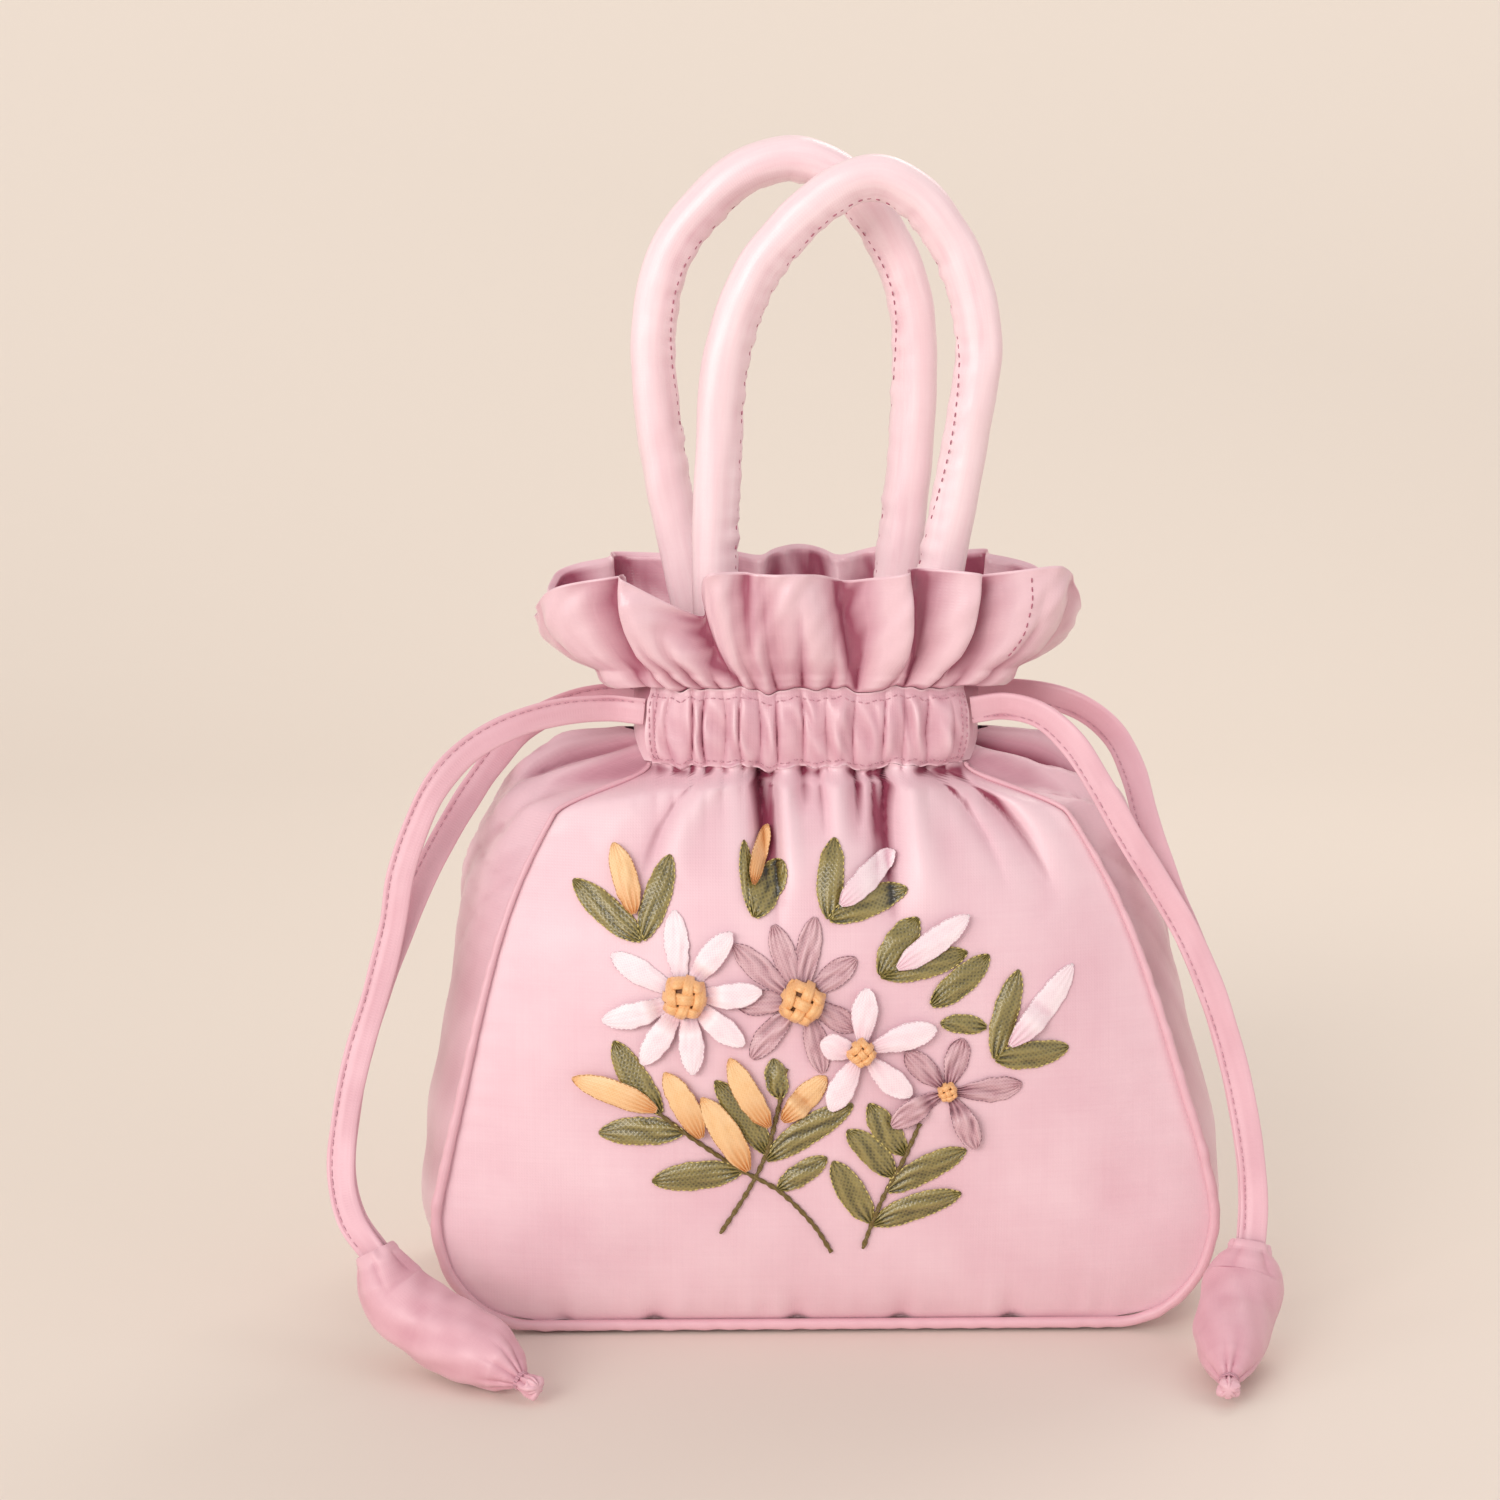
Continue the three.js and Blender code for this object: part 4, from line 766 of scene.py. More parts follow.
def puffs(x, pinches):
    """Swelling between pinches: |sin(pi p)|^0.6, where p counts the pinches from the left."""
    count = np.interp(x, pinches, np.arange(len(pinches)))
    return np.abs(np.sin(np.pi * count)) ** 0.6


def seam_wave(x, side):
    """How far the lines of stitches round the neck rise and dip at x, in millimetres."""
    return 0.8 * wander(x, 17, 77 + side) + 0.4 * wander(x, 7, 87 + side)


def panel_face(side, across, place):
    """Point of a panel's outer face at a place across, -1 to 1, and a row number.

    x is centre + across * seam, z the row's height, and y is side times depth + swell *
    (1 - |across|^2.5) less the folds, which fade towards the seams as 1 - across^6. Between the
    pinches under the neck the cloth swells by exp(-below / 5.5), and over the base the seam
    pinches it in by exp(-(off / (2.3 + 0.12 above))^2) exp(-above / 5). The top edge waves.
    """
    across = np.asarray(across, float)
    row = smooth_through(BODY_ROWS, place)
    z, seam, depth, swell, centre = row[..., 0], row[..., 1], row[..., 4], row[..., 5], row[..., 6]
    x = centre + across * seam
    z = z + 0 * across
    belly = depth + swell * (1 - np.abs(across) ** 2.5)
    drawn = drawn_in(z, across)
    x = x + drawn * (NECK_CENTRE + NECK_HALF_WIDTH * NECK_CORNER * across - x)
    oblong = NECK_HALF_DEPTH * (1 - np.abs(NECK_CORNER * across) ** 3) ** (1 / 3)
    belly = belly + drawn * (oblong - belly)
    below = BODY_HEIGHT - z
    table, pinches = gathers(side)
    folds = creases(x, z, table) * (0.35 + 0.65 * ramp(below, 4))
    gather = 1.1 * np.exp(-below / 1.6) + 1.7 * np.exp(-below / 5.5) * (puffs(x, pinches) - 0.6)
    seed = 5 if side < 0 else 9
    above = z - SEAM_BASE
    for pinch in BASE_PINCHES:
        folds = folds + 1.9 * bell(x - pinch, 2.3 + 0.12 * above) * np.exp(-above / 5.0)
    pucker = 0.40 * np.exp(-above / 5.5) * ramp(above, 1.5) * wander(x, 9, seed)
    pucker = pucker + 0.30 * bell(np.abs(across) - 1, 0.06) * wander(z, 8, seed + 1)
    soft = 0.8 * wander(x + 0.35 * z, 52, seed + 2) * wander(z - 0.3 * x, 60, seed + 3)
    inward = (folds - gather) * (1 - across ** 6)
    inward = inward + (pucker + soft) * (1 - across ** 8) * ramp(above, 4)
    z = z + seam_wave(x, side) * np.exp(-below / 2.5) * (1 - across ** 6)
    return np.stack([x, side * (belly - inward), z], axis=-1)


def on_front(x, z, lift):
    """The point of the front panel at x and z, moved out of it by lift along -Y."""
    place = np.interp(z, ROW_HEIGHTS, ROW_PLACES)
    row = smooth_through(BODY_ROWS, place)
    face = panel_face(-1, (x - row[..., 6]) / row[..., 1], place)
    return np.stack([x, face[..., 1] - lift, z], axis=-1)


def even_rows(count):
    """Row numbers at equal lengths along the seam from the base to the neck."""
    seam = smooth_through(BODY_ROWS, ROW_PLACES)[:, :2]
    length = lengths_along(seam)
    return np.interp(np.linspace(0, length[-1], count), length, ROW_PLACES)


def panel(name, side, rows=170, columns=210):
    """A closed sheet between panel_face and the same face moved inward by the cloth."""
    across = np.linspace(-1, 1, columns)[None]
    outer = panel_face(side, across, even_rows(rows)[:, None])
    inner = outer - np.array([0, side * CLOTH, 0])
    uv = np.stack([outer[..., 0], outer[..., 2]], axis=-1)
    made = piece(name + "_satin", closed_sheet(outer, inner, uv), [body_satin], node=name,
                 deepest=1.5, rounds=90)


def band_stations(count):
    """Stations of the side band, down the left, along the base and up the right.

    Each is x and z of the seam, x and z of the middle, depth, and the way out of the bag: the
    seam's own direction turned a quarter to the outside.
    """
    base = np.array([[share * SEAM_FLAT, SEAM_BASE, share * (SEAM_FLAT + CLEARANCE), 0, BODY_ROWS[0, 4]]
                     for share in (-0.5, 0, 0.5)])
    z, seam, middle, middle_z, depth, _, centre = BODY_ROWS.T
    right = np.stack([centre + seam, z, centre + middle, middle_z, depth], axis=1)
    left = np.stack([centre - seam, z, centre - middle, middle_z, depth], axis=1)[::-1]
    table = np.vstack([left, base, right])
    dense = smooth_through(table, np.linspace(0, len(table) - 1, 4000))
    run = lengths_along(dense[:, :2])
    at = np.linspace(0, run[-1], count)
    even = np.stack([np.interp(at, run, dense[:, column]) for column in range(5)], axis=1)
    drawn = drawn_in(even[:, 1], 1.0)
    corner = NECK_CENTRE + np.sign(even[:, 0]) * NECK_HALF_WIDTH * NECK_CORNER
    even[:, 0] += drawn * (corner - even[:, 0])
    even[:, 4] += drawn * (NECK_CORNER_DEPTH - even[:, 4])
    way = unit(np.gradient(even[:, :2], axis=0))
    return even, np.stack([way[:, 1], 0 * way[:, 0], -way[:, 0]], axis=1), at


def gusset(stations_count=330, columns=64):
    """The side band: from seam to middle by 1 - |place|^2.2, flat on the base.

    Gathers and creases near the neck push it in along its way out, fading downwards, and the
    sharp creases are (1 - |w|)^3 of a wandering w.
    """
    even, outward, run = band_stations(stations_count)
    place = np.linspace(-1, 1, columns)[None]
    seam = np.stack([even[:, 0], 0 * even[:, 0], even[:, 1]], axis=1)[:, None]
    middle = np.stack([even[:, 2], 0 * even[:, 0], even[:, 3]], axis=1)[:, None]
    flat = ramp(2.5 - even[:, 3:4], 2.5)
    bulge = 1 - np.abs(place) ** (2.2 + 5.5 * flat)
    points = seam + (middle - seam) * bulge[..., None]
    depth = place * (even[:, 4:5] - CLOTH - 0.05)
    height = even[:, 1:2]
    high = np.exp(-(BODY_HEIGHT - height) / 12)
    left = np.linspace(-1, 1, stations_count)[:, None] < 0
    seed = np.where(left, 0.0, 50.0)
    ripple = 3.0 * high * wander(depth + seed, 13, 3)
    below = BODY_HEIGHT - height
    ripple = ripple + 1.9 * np.exp(-below / 26) * wander(depth + 0.55 * height + seed, 21, 4)
    ripple = ripple + 0.35 * wander(height + seed, 34, 6) * (height > 12)
    ripple = ripple + 0.2 * wander(height + depth, 11, 8) * high
    sharp = crisp(depth + 0.7 * height + seed, 19, 31) ** 3
    sharp = sharp + 0.7 * crisp(1.3 * height - 0.4 * depth + seed, 25, 33) ** 4
    ripple = ripple - 1.7 * sharp * np.exp(-below / 24)
    ripple = ripple * (1 - np.abs(place) ** 4) * ramp(height - SEAM_BASE, 14)
    outer = points + outward[:, None] * ripple[..., None]
    outer[..., 1] = depth
    inner = outer - outward[:, None] * CLOTH
    made = piece("gusset_satin", closed_sheet(outer, inner, lattice(run, depth[0])), [side_satin],
                 node="gusset", deepest=1.2, rounds=60)


def piping(name, side, count=420, sides=14):
    """Covered cord: a round section on the seam, touching the corner of panel and band.

    The radius dips where the cloth puckers round the cord, and ends thin under the gathers.
    """
    even, outward, run = band_stations(count)
    forward = np.tile([0, side, 0.0], (count, 1))
    end = ramp(np.minimum(run, run[-1] - run), 120)
    radius = PIPING_RADIUS * (0.34 + 0.58 * end + 0.05 * wander(run, 7, 21 + side))
    corner = np.stack([even[:, 0], side * even[:, 4], even[:, 1]], axis=1)
    centres = corner + (radius[:, None] + 0.04) / np.sqrt(2) * (outward + forward)
    turn = full_turn(sides)
    ridge = 0.35 * bell((turn - 0.75 * np.pi + np.pi) % (2 * np.pi) - np.pi, 0.3)
    size = radius[:, None] * (1 + ridge * 0.2)
    body = tube(centres, outward, forward, size * np.cos(turn), size * np.sin(turn), run)
    piece(name + "_satin", [body], [pod_satin], node=name)


panel("front_panel", -1)
panel("back_panel", 1)
gusset()
piping("front_piping", -1)
piping("back_piping", 1)

# Folds of the frill. A turn is a 360th of the girth, from +X round by the back, so the front is
# 180 to 360. Turn at the neck and at the rim, inward share, width at neck and rim, rim drop
FRILL_FOLDS = [
    (2, 0, -0.10, 12, 12, 0.48), (16, 14, 0.10, 6, 8, 0.10), (30, 28, 0.45, 4, 6, 0.03),
    (48, 46, 0.70, 5, 7, 0.05), (62, 63, 0.40, 3.5, 6, 0.00), (78, 76, 0.80, 5, 8, 0.06),
    (93, 94, 0.40, 3.5, 6, 0.00), (107, 106, 0.75, 5, 7, 0.05), (122, 124, 0.40, 4, 6, 0.00),
    (136, 135, 0.70, 5, 7, 0.04), (152, 154, 0.40, 4, 7, 0.03), (180, 183, -0.08, 12, 16, 0.50),
    (196, 200, -0.12, 9, 9, 0.00), (210, 213, 0.42, 3.5, 6.5, 0.02), (226, 222, -0.20, 5, 6, 0.00),
    (243, 232, 0.80, 4.5, 7.0, 0.42), (252.5, 251.5, 0.22, 1.8, 3.0, 0.00), (257, 246, -0.20, 4, 4.5, 0.00),
    (270, 266, -0.22, 6, 8, 0.00), (289, 281.5, 0.85, 5.0, 9.5, 0.11), (299, 294, -0.22, 4, 6, 0.00),
    (303, 300, 0.14, 1.8, 3.0, 0.00), (308, 305.5, 0.62, 4.0, 7.5, 0.02), (315, 314, -0.16, 3.5, 5.5, 0.00),
    (321, 324, 0.55, 4.0, 6.5, 0.05), (336, 338, -0.10, 8, 9, 0.00), (352, 352, -0.04, 6, 8, 0.00),
]
FRILL_FLARE = [(0, 0.04), (0.03, 0.15), (0.10, 0.33), (0.28, 0.62), (0.50, 0.82), (0.78, 0.95), (1, 0.98)]
NECK_BOTTOM = BODY_HEIGHT + CLEARANCE
FRILL_START = NECK_BOTTOM + CASING_HEIGHT + 3 * CLEARANCE
CASING_TOP = FRILL_START - 0.6


def neck_point(angle, half_width, half_depth, z):
    """A rounded oblong, x and y by the 2/3 power of cosine and sine, and its way outward."""
    across = np.sign(np.cos(angle)) * np.abs(np.cos(angle)) ** (2 / 3)
    deep = np.sign(np.sin(angle)) * np.abs(np.sin(angle)) ** (2 / 3)
    x, y, z = np.broadcast_arrays(NECK_CENTRE + half_width * across, half_depth * deep, z)
    out_x = np.sign(across) * across ** 2 / half_width
    out_y = np.sign(deep) * deep ** 2 / half_depth
    out = unit(np.stack(np.broadcast_arrays(out_x, out_y, 0 * x), axis=-1))
    return np.stack([x, y, z], axis=-1), out


def oblong_angle(turn):
    """Angle for neck_point at a turn: equal turns are equal lengths round the oblong."""
    angle = np.radians(np.linspace(0, 360, 7201))
    line, _ = neck_point(angle, NECK_HALF_WIDTH, NECK_HALF_DEPTH, 0 * angle)
    run = lengths_along(line)
    return np.interp(np.mod(turn, 360), 360 * run / run[-1], angle)


def neck_puffs(angle, x):
    """The puffs of the drawn-up cloth at an angle: the front's or the back's by which side it is."""
    return np.where(np.sin(angle) < 0, puffs(x, FRONT_PINCHES), puffs(x, BACK_PINCHES))


def frill_folds(turn, level):
    """Inward share, rim drop and sideways squeeze at a turn and a level, 0 at the neck, 1 at the rim.

    Each fold goes as exp(-(apart / width)^2), and its turn and width change from the neck to the
    rim. The squeeze moves the cloth towards the bottom of the fold, which steepens its walls.
    """
    inward, drop, squeeze = (np.zeros(np.broadcast(turn, level).shape) for _ in range(3))
    for low, high, deep, narrow, wide, lowered in FRILL_FOLDS:
        width = narrow + (wide - narrow) * level
        apart = (turn - low - (high - low) * level ** 0.8 + 540) % 360 - 180
        inward = inward + deep * bell(apart, width)
        drop = drop + lowered * bell(apart, 1.15 * wide)
        squeeze = squeeze - 0.12 * max(deep, 0) * apart * bell(apart, 1.3 * width)
    return inward, drop, squeeze


def neck_ruffle(around=440, low_rows=16, high_rows=84):
    """The neck tube and the frill above it.

    Up to FRILL_START the section is neck_point. Above it the half widths grow with FRILL_FLARE
    times one less the folds, the rim sinks by the folds' drop, and small gathers fade upwards.
    At the two sides the foot of the frill swells out by hang and sags over the casing by a half
    wave of sine, and between them it flares more slowly, by 1 - 0.6 exp(-level / 0.09). Crisp
    creases are (1 - |w|)^5 of a wandering w, deepest half way up.
    """
    turn = np.linspace(0, 360, around, endpoint=False)[None]
    neck = np.concatenate([np.linspace(0, 1, low_rows), np.ones(high_rows)])[:, None]
    level = np.concatenate([np.zeros(low_rows), np.linspace(0, 1, high_rows + 1)[1:] ** 1.4])[:, None]
    inward, drop, squeeze = frill_folds(turn, level)
    lobes = bell((turn + 180) % 360 - 180, 24) + bell(turn - 182, 28)
    slow = 1 - 0.6 * np.exp(-level / 0.09) * (1 - np.clip(lobes, 0, 1))
    flare = share_curve(FRILL_FLARE, level) * (level > 0) * (1 - inward) * slow
    angle = oblong_angle(turn + squeeze * ramp(level, 0.1))
    beside = NECK_HALF_DEPTH * np.abs(np.sin(angle)) ** (2 / 3) / (NECK_CORNER_DEPTH - 2)
    low = NECK_BOTTOM + SHOULDER_RISE * np.clip(1 - beside ** 2.2, 0, 1)
    rim = 1 - drop + 0.03 * wander(turn, 45, 2) * level
    z = low + (CASING_TOP + 0.05 - low) * neck + 0.6 * ramp(level, 0.1)
    z = z + FRILL_HEIGHT * rim * level
    half_width = NECK_HALF_WIDTH + (FRILL_HALF_WIDTH - NECK_HALF_WIDTH) * flare
    half_depth = NECK_HALF_DEPTH + (FRILL_HALF_DEPTH - NECK_HALF_DEPTH) * flare
    points, out = neck_point(angle, half_width, half_depth, z)
    at_neck, _ = neck_point(angle, NECK_HALF_WIDTH, NECK_HALF_DEPTH, 0 * angle)
    gather = neck_puffs(angle, at_neck[..., 0])
    wave = np.where(np.sin(angle) < 0, seam_wave(at_neck[..., 0], -1), seam_wave(at_neck[..., 0], 1))
    wave = wave * (1 - np.clip(lobes, 0, 1)) * neck * np.exp(-level / 0.12)
    fine = (0.5 + 0.5 * gather) * ramp(level, 0.004)
    fine = fine + 2.4 * (gather - 0.45) * np.exp(-level / 0.26) * ramp(level, 0.05)
    hang = (0.1 + 0.2 * gather + 2.5 * lobes) * (1 - np.exp(-level / 0.02)) * np.exp(-level / 0.14)
    sag = (0.2 + 0.3 * gather + 3.0 * lobes) * np.sin(np.pi * ramp(level, 0.13))
    crush = 0.9 * level * wander(turn + 14 * level, 22, 7) + 0.45 * wander(turn - 20 * level, 9, 8) * level
    crush = crush - 0.8 * crisp(turn + 3 * level, 31, 41) ** 5 * np.sin(np.pi * level ** 0.6)
    roll = 0.5 * ramp(level - 0.93, 0.07) ** 2
    hem = 0.12 * bell(level - 0.955, 0.035)
    thick = FRILL_CLOTH * (1 - 0.55 * ramp(level - 0.985, 0.015)) + 2 * hem
    inner = points + out * (fine + crush + roll + hem - thick)[..., None]
    outer = points + out * (fine + crush + roll + hem + hang)[..., None]
    outer[..., 2] += wave - sag
    inner[..., 2] += wave
    cap = (outer[-1:] + inner[-1:]) / 2 + np.array([0, 0, 0.35])
    girth = np.linspace(0, FRILL_GIRTH, around + 1)
    rise = z.mean(axis=1)
    parts = [
        skin(outer, lattice(rise, girth), wrap=True),
        skin(inner, lattice(rise, girth), flip=True, wrap=True),
        skin(np.concatenate([outer[-1:], cap, inner[-1:]]), lattice(rise[-3:], girth), wrap=True),
        skin(np.concatenate([inner[:1], outer[:1]]), lattice(rise[:2], girth), wrap=True),
    ]
    seam_column = int(round(FRILL_SEAM / 360 * around))
    seam = (outer[:, seam_column] + 0.12 * out[:, seam_column])[low_rows + 30:-2]
    parts.append((dashes(seam, 2.2, 0.8, 0.2, 3), 1))
    made = piece("neck_ruffle_satin", parts, [strip_satin, seam_thread], node="neck_ruffle",
                 crease=75, deepest=1.2, rounds=90)


# Degrees from the neck's side to a casing's end
CASING_START = 26.1
# Heights of the two lines of stitches, as shares of the casing's
LOWER_SEAM = 0.07
UPPER_SEAM = 0.88


def casing_place(side, share):
    """Angle round the neck at a share of a casing's length. It ends CASING_START short of a side."""
    turn = CASING_START + (180 - 2 * CASING_START) * share
    return oblong_angle(np.where(side > 0, turn, 360 - turn))


def panel_top(side, x):
    """How far the top of a panel stands off the neck at x, which is panel_face at the top row."""
    table, pinches = gathers(side)
    across = (x - NECK_CENTRE) / (NECK_HALF_WIDTH * NECK_CORNER)
    stand = 1.1 + 1.7 * (puffs(x, pinches) - 0.6) - 0.35 * creases(x, BODY_HEIGHT + 0 * x, table)
    return stand * np.clip(1 - across ** 6, 0, 1)


def casing_face(side, share, height, lift=0.0):
    """Point of a casing, by share of its length and of its height.

    It stands off the neck by 0.45 + puffs + pouch * (0.5 + 1.5 puffs), where pouch is
    sin(pi h)^0.7 between the two lines of stitches. Its top meets the foot of the frill, and its
    foot meets the panel's top by exp(-h / 0.05). The lines dip at the pinches, the puffs bow and
    vary in size, and one near the right end of the front swells into a loop.
    """
    pinches = gathers(side)[1]
    angle = casing_place(side, share)
    bare, _ = neck_point(angle, NECK_HALF_WIDTH, NECK_HALF_DEPTH, 0 * angle)
    up = CASING_HEIGHT * height
    x = bare[..., 0] + 0.6 * wander(0.4 * up + 0.4 * bare[..., 0], 19, 60 + side)
    x = x + 1.5 * wander(bare[..., 0], 15, 65 + side) * np.sin(np.pi * height)
    gather = 1 - (1 - puffs(x, pinches)) * (0.75 + 0.35 * wander(x, 19, 61))
    dip = 0.09 * (1.1 - gather) * np.sign(0.4 - height)
    pouch = ramp(height + dip - LOWER_SEAM, UPPER_SEAM - LOWER_SEAM)
    pouch = np.sin(np.pi * pouch) ** 0.7
    tuck = ramp(height - UPPER_SEAM - 0.02, 0.08)
    loop = bell(x - 29.5, 2.8) if side < 0 else 0 * x
    size = 0.80 + 0.75 * wander(x, 15, 12 + side) + 0.25 * wander(x + 0.6 * up, 8, 13 + side)
    stand = 0.45 + 1.0 * gather + pouch * (0.5 + 1.5 * gather * size + 1.6 * loop)
    stand = stand + 0.35 * wander(x + 0.25 * up, 6.5, 14 + side) * pouch
    stand = stand + (0.5 + 0.5 * gather - stand) * tuck
    stand = stand + (panel_top(side, bare[..., 0]) - stand) * np.exp(-height / 0.05)
    z = BODY_HEIGHT + 0.04 + (CASING_TOP - BODY_HEIGHT - 0.04) * height
    near_end = ramp(np.minimum(share, 1 - share), 0.06)
    z = z + seam_wave(bare[..., 0], side) * near_end
    points, out = neck_point(angle, NECK_HALF_WIDTH, NECK_HALF_DEPTH, z)
    return points + out * (np.maximum(stand, 0.45) + lift)[..., None], out


def casing(name, side, columns=320, rows=34):
    """A closed sheet between casing_face and the neck, with a line of stitches along each seam."""
    share = np.linspace(0, 1, columns)[None]
    height = np.linspace(0, 1, rows)[:, None]
    outer, _ = casing_face(side, share, height)
    base, flat_out = neck_point(casing_place(side, share), NECK_HALF_WIDTH, NECK_HALF_DEPTH, outer[..., 2])
    inner = base + flat_out * CLEARANCE
    parts = closed_sheet(outer, inner, lattice(CASING_HEIGHT * height[:, 0], 90 * share[0]))
    for seam_height in (LOWER_SEAM, UPPER_SEAM):
        wave = 0.02 * wander(96 * share, 7, 70 + side)
        line, _ = casing_face(side, share, seam_height + wave, lift=0.12)
        parts.append((dashes(line[0], 1.9, 0.6, 0.17, 5), 1))
    for end in (0.012, 0.030, 0.970, 0.988):
        line, _ = casing_face(side, np.full((60, 1), end), np.linspace(0.06, 0.94, 60)[:, None], lift=0.14)
        parts.append((dashes(line[:, 0], 1.9, 0.6, 0.18, 6), 1))
    made = piece(name + "_satin", parts, [strip_satin, rose_thread], node=name, crease=70,
                 deepest=0.9, rounds=30)


neck_ruffle()
casing("casing_front", -1)
casing("casing_back", 1)

# The handles: shares of HANDLE_SPAN across and of HANDLE_RISE above the foot
HANDLES = {
    "front_handle": (-1, [
        (-0.330, 0), (-0.367, 0.24), (-0.354, 0.50), (-0.322, 0.68), (-0.217, 0.82), (-0.057, 0.915),
        (0.108, 0.978), (0.258, 1.0), (0.423, 0.965), (0.563, 0.88), (0.643, 0.78), (0.668, 0.69),
        (0.638, 0.58), (0.578, 0.42), (0.508, 0.24), (0.460, 0),
    ]),
    "back_handle": (1, [
        (-0.440, 0), (-0.452, 0.20), (-0.557, 0.45), (-0.607, 0.64), (-0.592, 0.77), (-0.527, 0.87),
        (-0.402, 0.95), (-0.247, 1.01), (-0.062, 1.035), (0.118, 1.01), (0.258, 0.94), (0.368, 0.85),
        (0.428, 0.76), (0.443, 0.64), (0.423, 0.46), (0.368, 0.24), (0.320, 0),
    ]),
}


def handle(name, side, shares, seed):
    """A nearly round section carried along a loop.

    The radius is R (1 + a cos 2a + b cos 3a + c cos 5a), which gives lengthwise gleams, less
    small puckers on the inside of the bend. A sewn lip stands on the inner side, and it wanders
    between out of sight and the front.
    """
    steps, sides = 420, 48
    foot = NECK_BOTTOM + CASING_HEIGHT * 0.4
    route = [(NECK_CENTRE + HANDLE_SPAN * across, side * HANDLE_DEPTH, foot + HANDLE_RISE * up)
             for across, up in shares]
    centres, way, length = along_route(route, steps)
    inside = unit(np.cross([0, 1, 0], way))
    front = np.tile([0, -1.0, 0], (steps, 1))
    run = np.linspace(0, length, steps)[:, None]
    turn = full_turn(sides)
    seam_turn = 0.12 + 0.34 * wander(run, 130, seed + 7)
    from_seam = (turn - seam_turn + np.pi) % (2 * np.pi) - np.pi
    lines = 0.024 * np.cos(2 * turn + 0.6) + 0.032 * np.cos(3 * turn + 1.2 * wander(run, 90, seed))
    lines = lines + 0.019 * np.cos(5 * turn + 1.6 * wander(run, 70, seed + 4))
    puckers = 0.042 * bell(from_seam, 0.8) * wander(run, 8.5, seed + 1)
    puckers = puckers + 0.020 * wander(run + 3 * turn, 19, seed + 2)
    lip = 0.045 * bell(from_seam, 0.15) * (1 + 0.5 * wander(run, 3.2, seed + 3))
    radius = HANDLE_RADIUS * (0.985 + lines + puckers + lip)
    body = tube(centres, inside, front, radius * np.cos(turn), radius * np.sin(turn), run[:, 0])
    beside = seam_turn + 0.16
    line = centres + HANDLE_RADIUS * 1.015 * (np.cos(beside) * inside + np.sin(beside) * front)
    sewn = [(dashes(line[6:-6], 2.4, 1.2, 0.19, seed), 1)]
    made = piece(name + "_satin", [body, *sewn], [handle_satin, seam_thread],
                 node=name, crease=80)


for index, (name, (side, shares)) in enumerate(HANDLES.items()):
    handle(name, side, shares, 40 + 9 * index)

# The half width of a leaf and of a petal along it, as a share of the ribbon's
LEAF_OUTLINE = [(0, 0.20), (0.06, 0.46), (0.16, 0.76), (0.32, 0.96), (0.52, 1.0), (0.70, 0.92),
                (0.84, 0.72), (0.94, 0.42), (1, 0.10)]
PETAL_OUTLINE = [(0, 0.26), (0.14, 0.40), (0.30, 0.68), (0.48, 0.94), (0.64, 1.04), (0.80, 0.92),
                 (0.92, 0.62), (1, 0.20)]


def ribbon(root, tip, width, outline, climb=(0, 0), seed=0, puff=0.5, crush=1.0, edging=(1.5, 0.5, 0.15)):
    """A ribbon stitch on the front panel, from its root to its tip.

    Across is aside * half width * v, and the half width follows the outline. It stands off the
    panel by 0.22 + layers + puff (1 - |v|^2.4) sin(pi u)^0.7, with lengthwise pleats at its root
    and fainter ones at its tip, where it dives to the cloth. crush deepens the pleats. Its woven
    edge is a row of stitches along each side, and edging is their pitch, gap and radius.
    """
    dice = np.random.default_rng(seed)
    start, end = np.array([root, tip]) * [SEAM_HALF_WIDTH, BODY_HEIGHT]
    length = np.hypot(*(end - start))
    along = (end - start) / length
    aside = np.array([-along[1], along[0]])
    u, v = np.linspace(0, 1, 46)[:, None], np.linspace(-1, 1, 21)[None]
    bow = dice.uniform(-0.035, 0.035) * length
    half = width * RIBBON_WIDTH / 2 * share_curve(outline, u)
    ruffled = 1 + 0.04 * wander(u * length, 5, seed + 1)
    middle_x = start[0] + (end - start)[0] * u + aside[0] * bow * 4 * u * (1 - u)
    middle_z = start[1] + (end - start)[1] * u + aside[1] * bow * 4 * u * (1 - u)
    x = middle_x + aside[0] * half * v * ruffled
    z = middle_z + aside[1] * half * v * ruffled
    climbed = ramp(u - 0.30, 0.20)
    rise = LAYER_STEP * (climb[0] + (climb[1] - climb[0]) * climbed ** 2 * (3 - 2 * climbed))
    crown = puff * (1 - np.abs(v) ** 2.4) * np.sin(np.pi * u) ** 0.7
    ends = bell(u, 0.24) + 0.5 * bell(1 - u, 0.18)
    count = dice.integers(3, 6)
    across = count * np.pi * v * (1 + 0.3 * u) + dice.uniform(0, 6) + u
    pleats = crush * (0.24 * ends + 0.045) * np.cos(across)
    twist = crush * (0.32 * dice.uniform(-1, 1) * v + 0.16 * wander(v + 1.6 * u, 1.3, seed + 2))
    dive = 0.15 * bell(1 - u, 0.05)
    lift = 0.22 + rise + crown + pleats + twist * np.sin(np.pi * u) - dive
    lift = np.maximum(lift, 0.12 + rise * 0.98)
    outer = on_front(x, z, lift + RIBBON_THICKNESS)
    inner = on_front(x, z, lift)
    uv = lattice(length * u[:, 0], width * RIBBON_WIDTH / 2 * v[0])
    parts = [(part, 0) for part in closed_sheet(outer, inner, uv)]
    for column, within in ((0, 1), (-1, -1)):
        rim = outer[:, column] + np.array([aside[0], 0, aside[1]]) * within * 0.10 - np.array([0, 0.05, 0])
        parts.append((dashes(rim, *edging, seed + 9 + column), 1))
    return parts


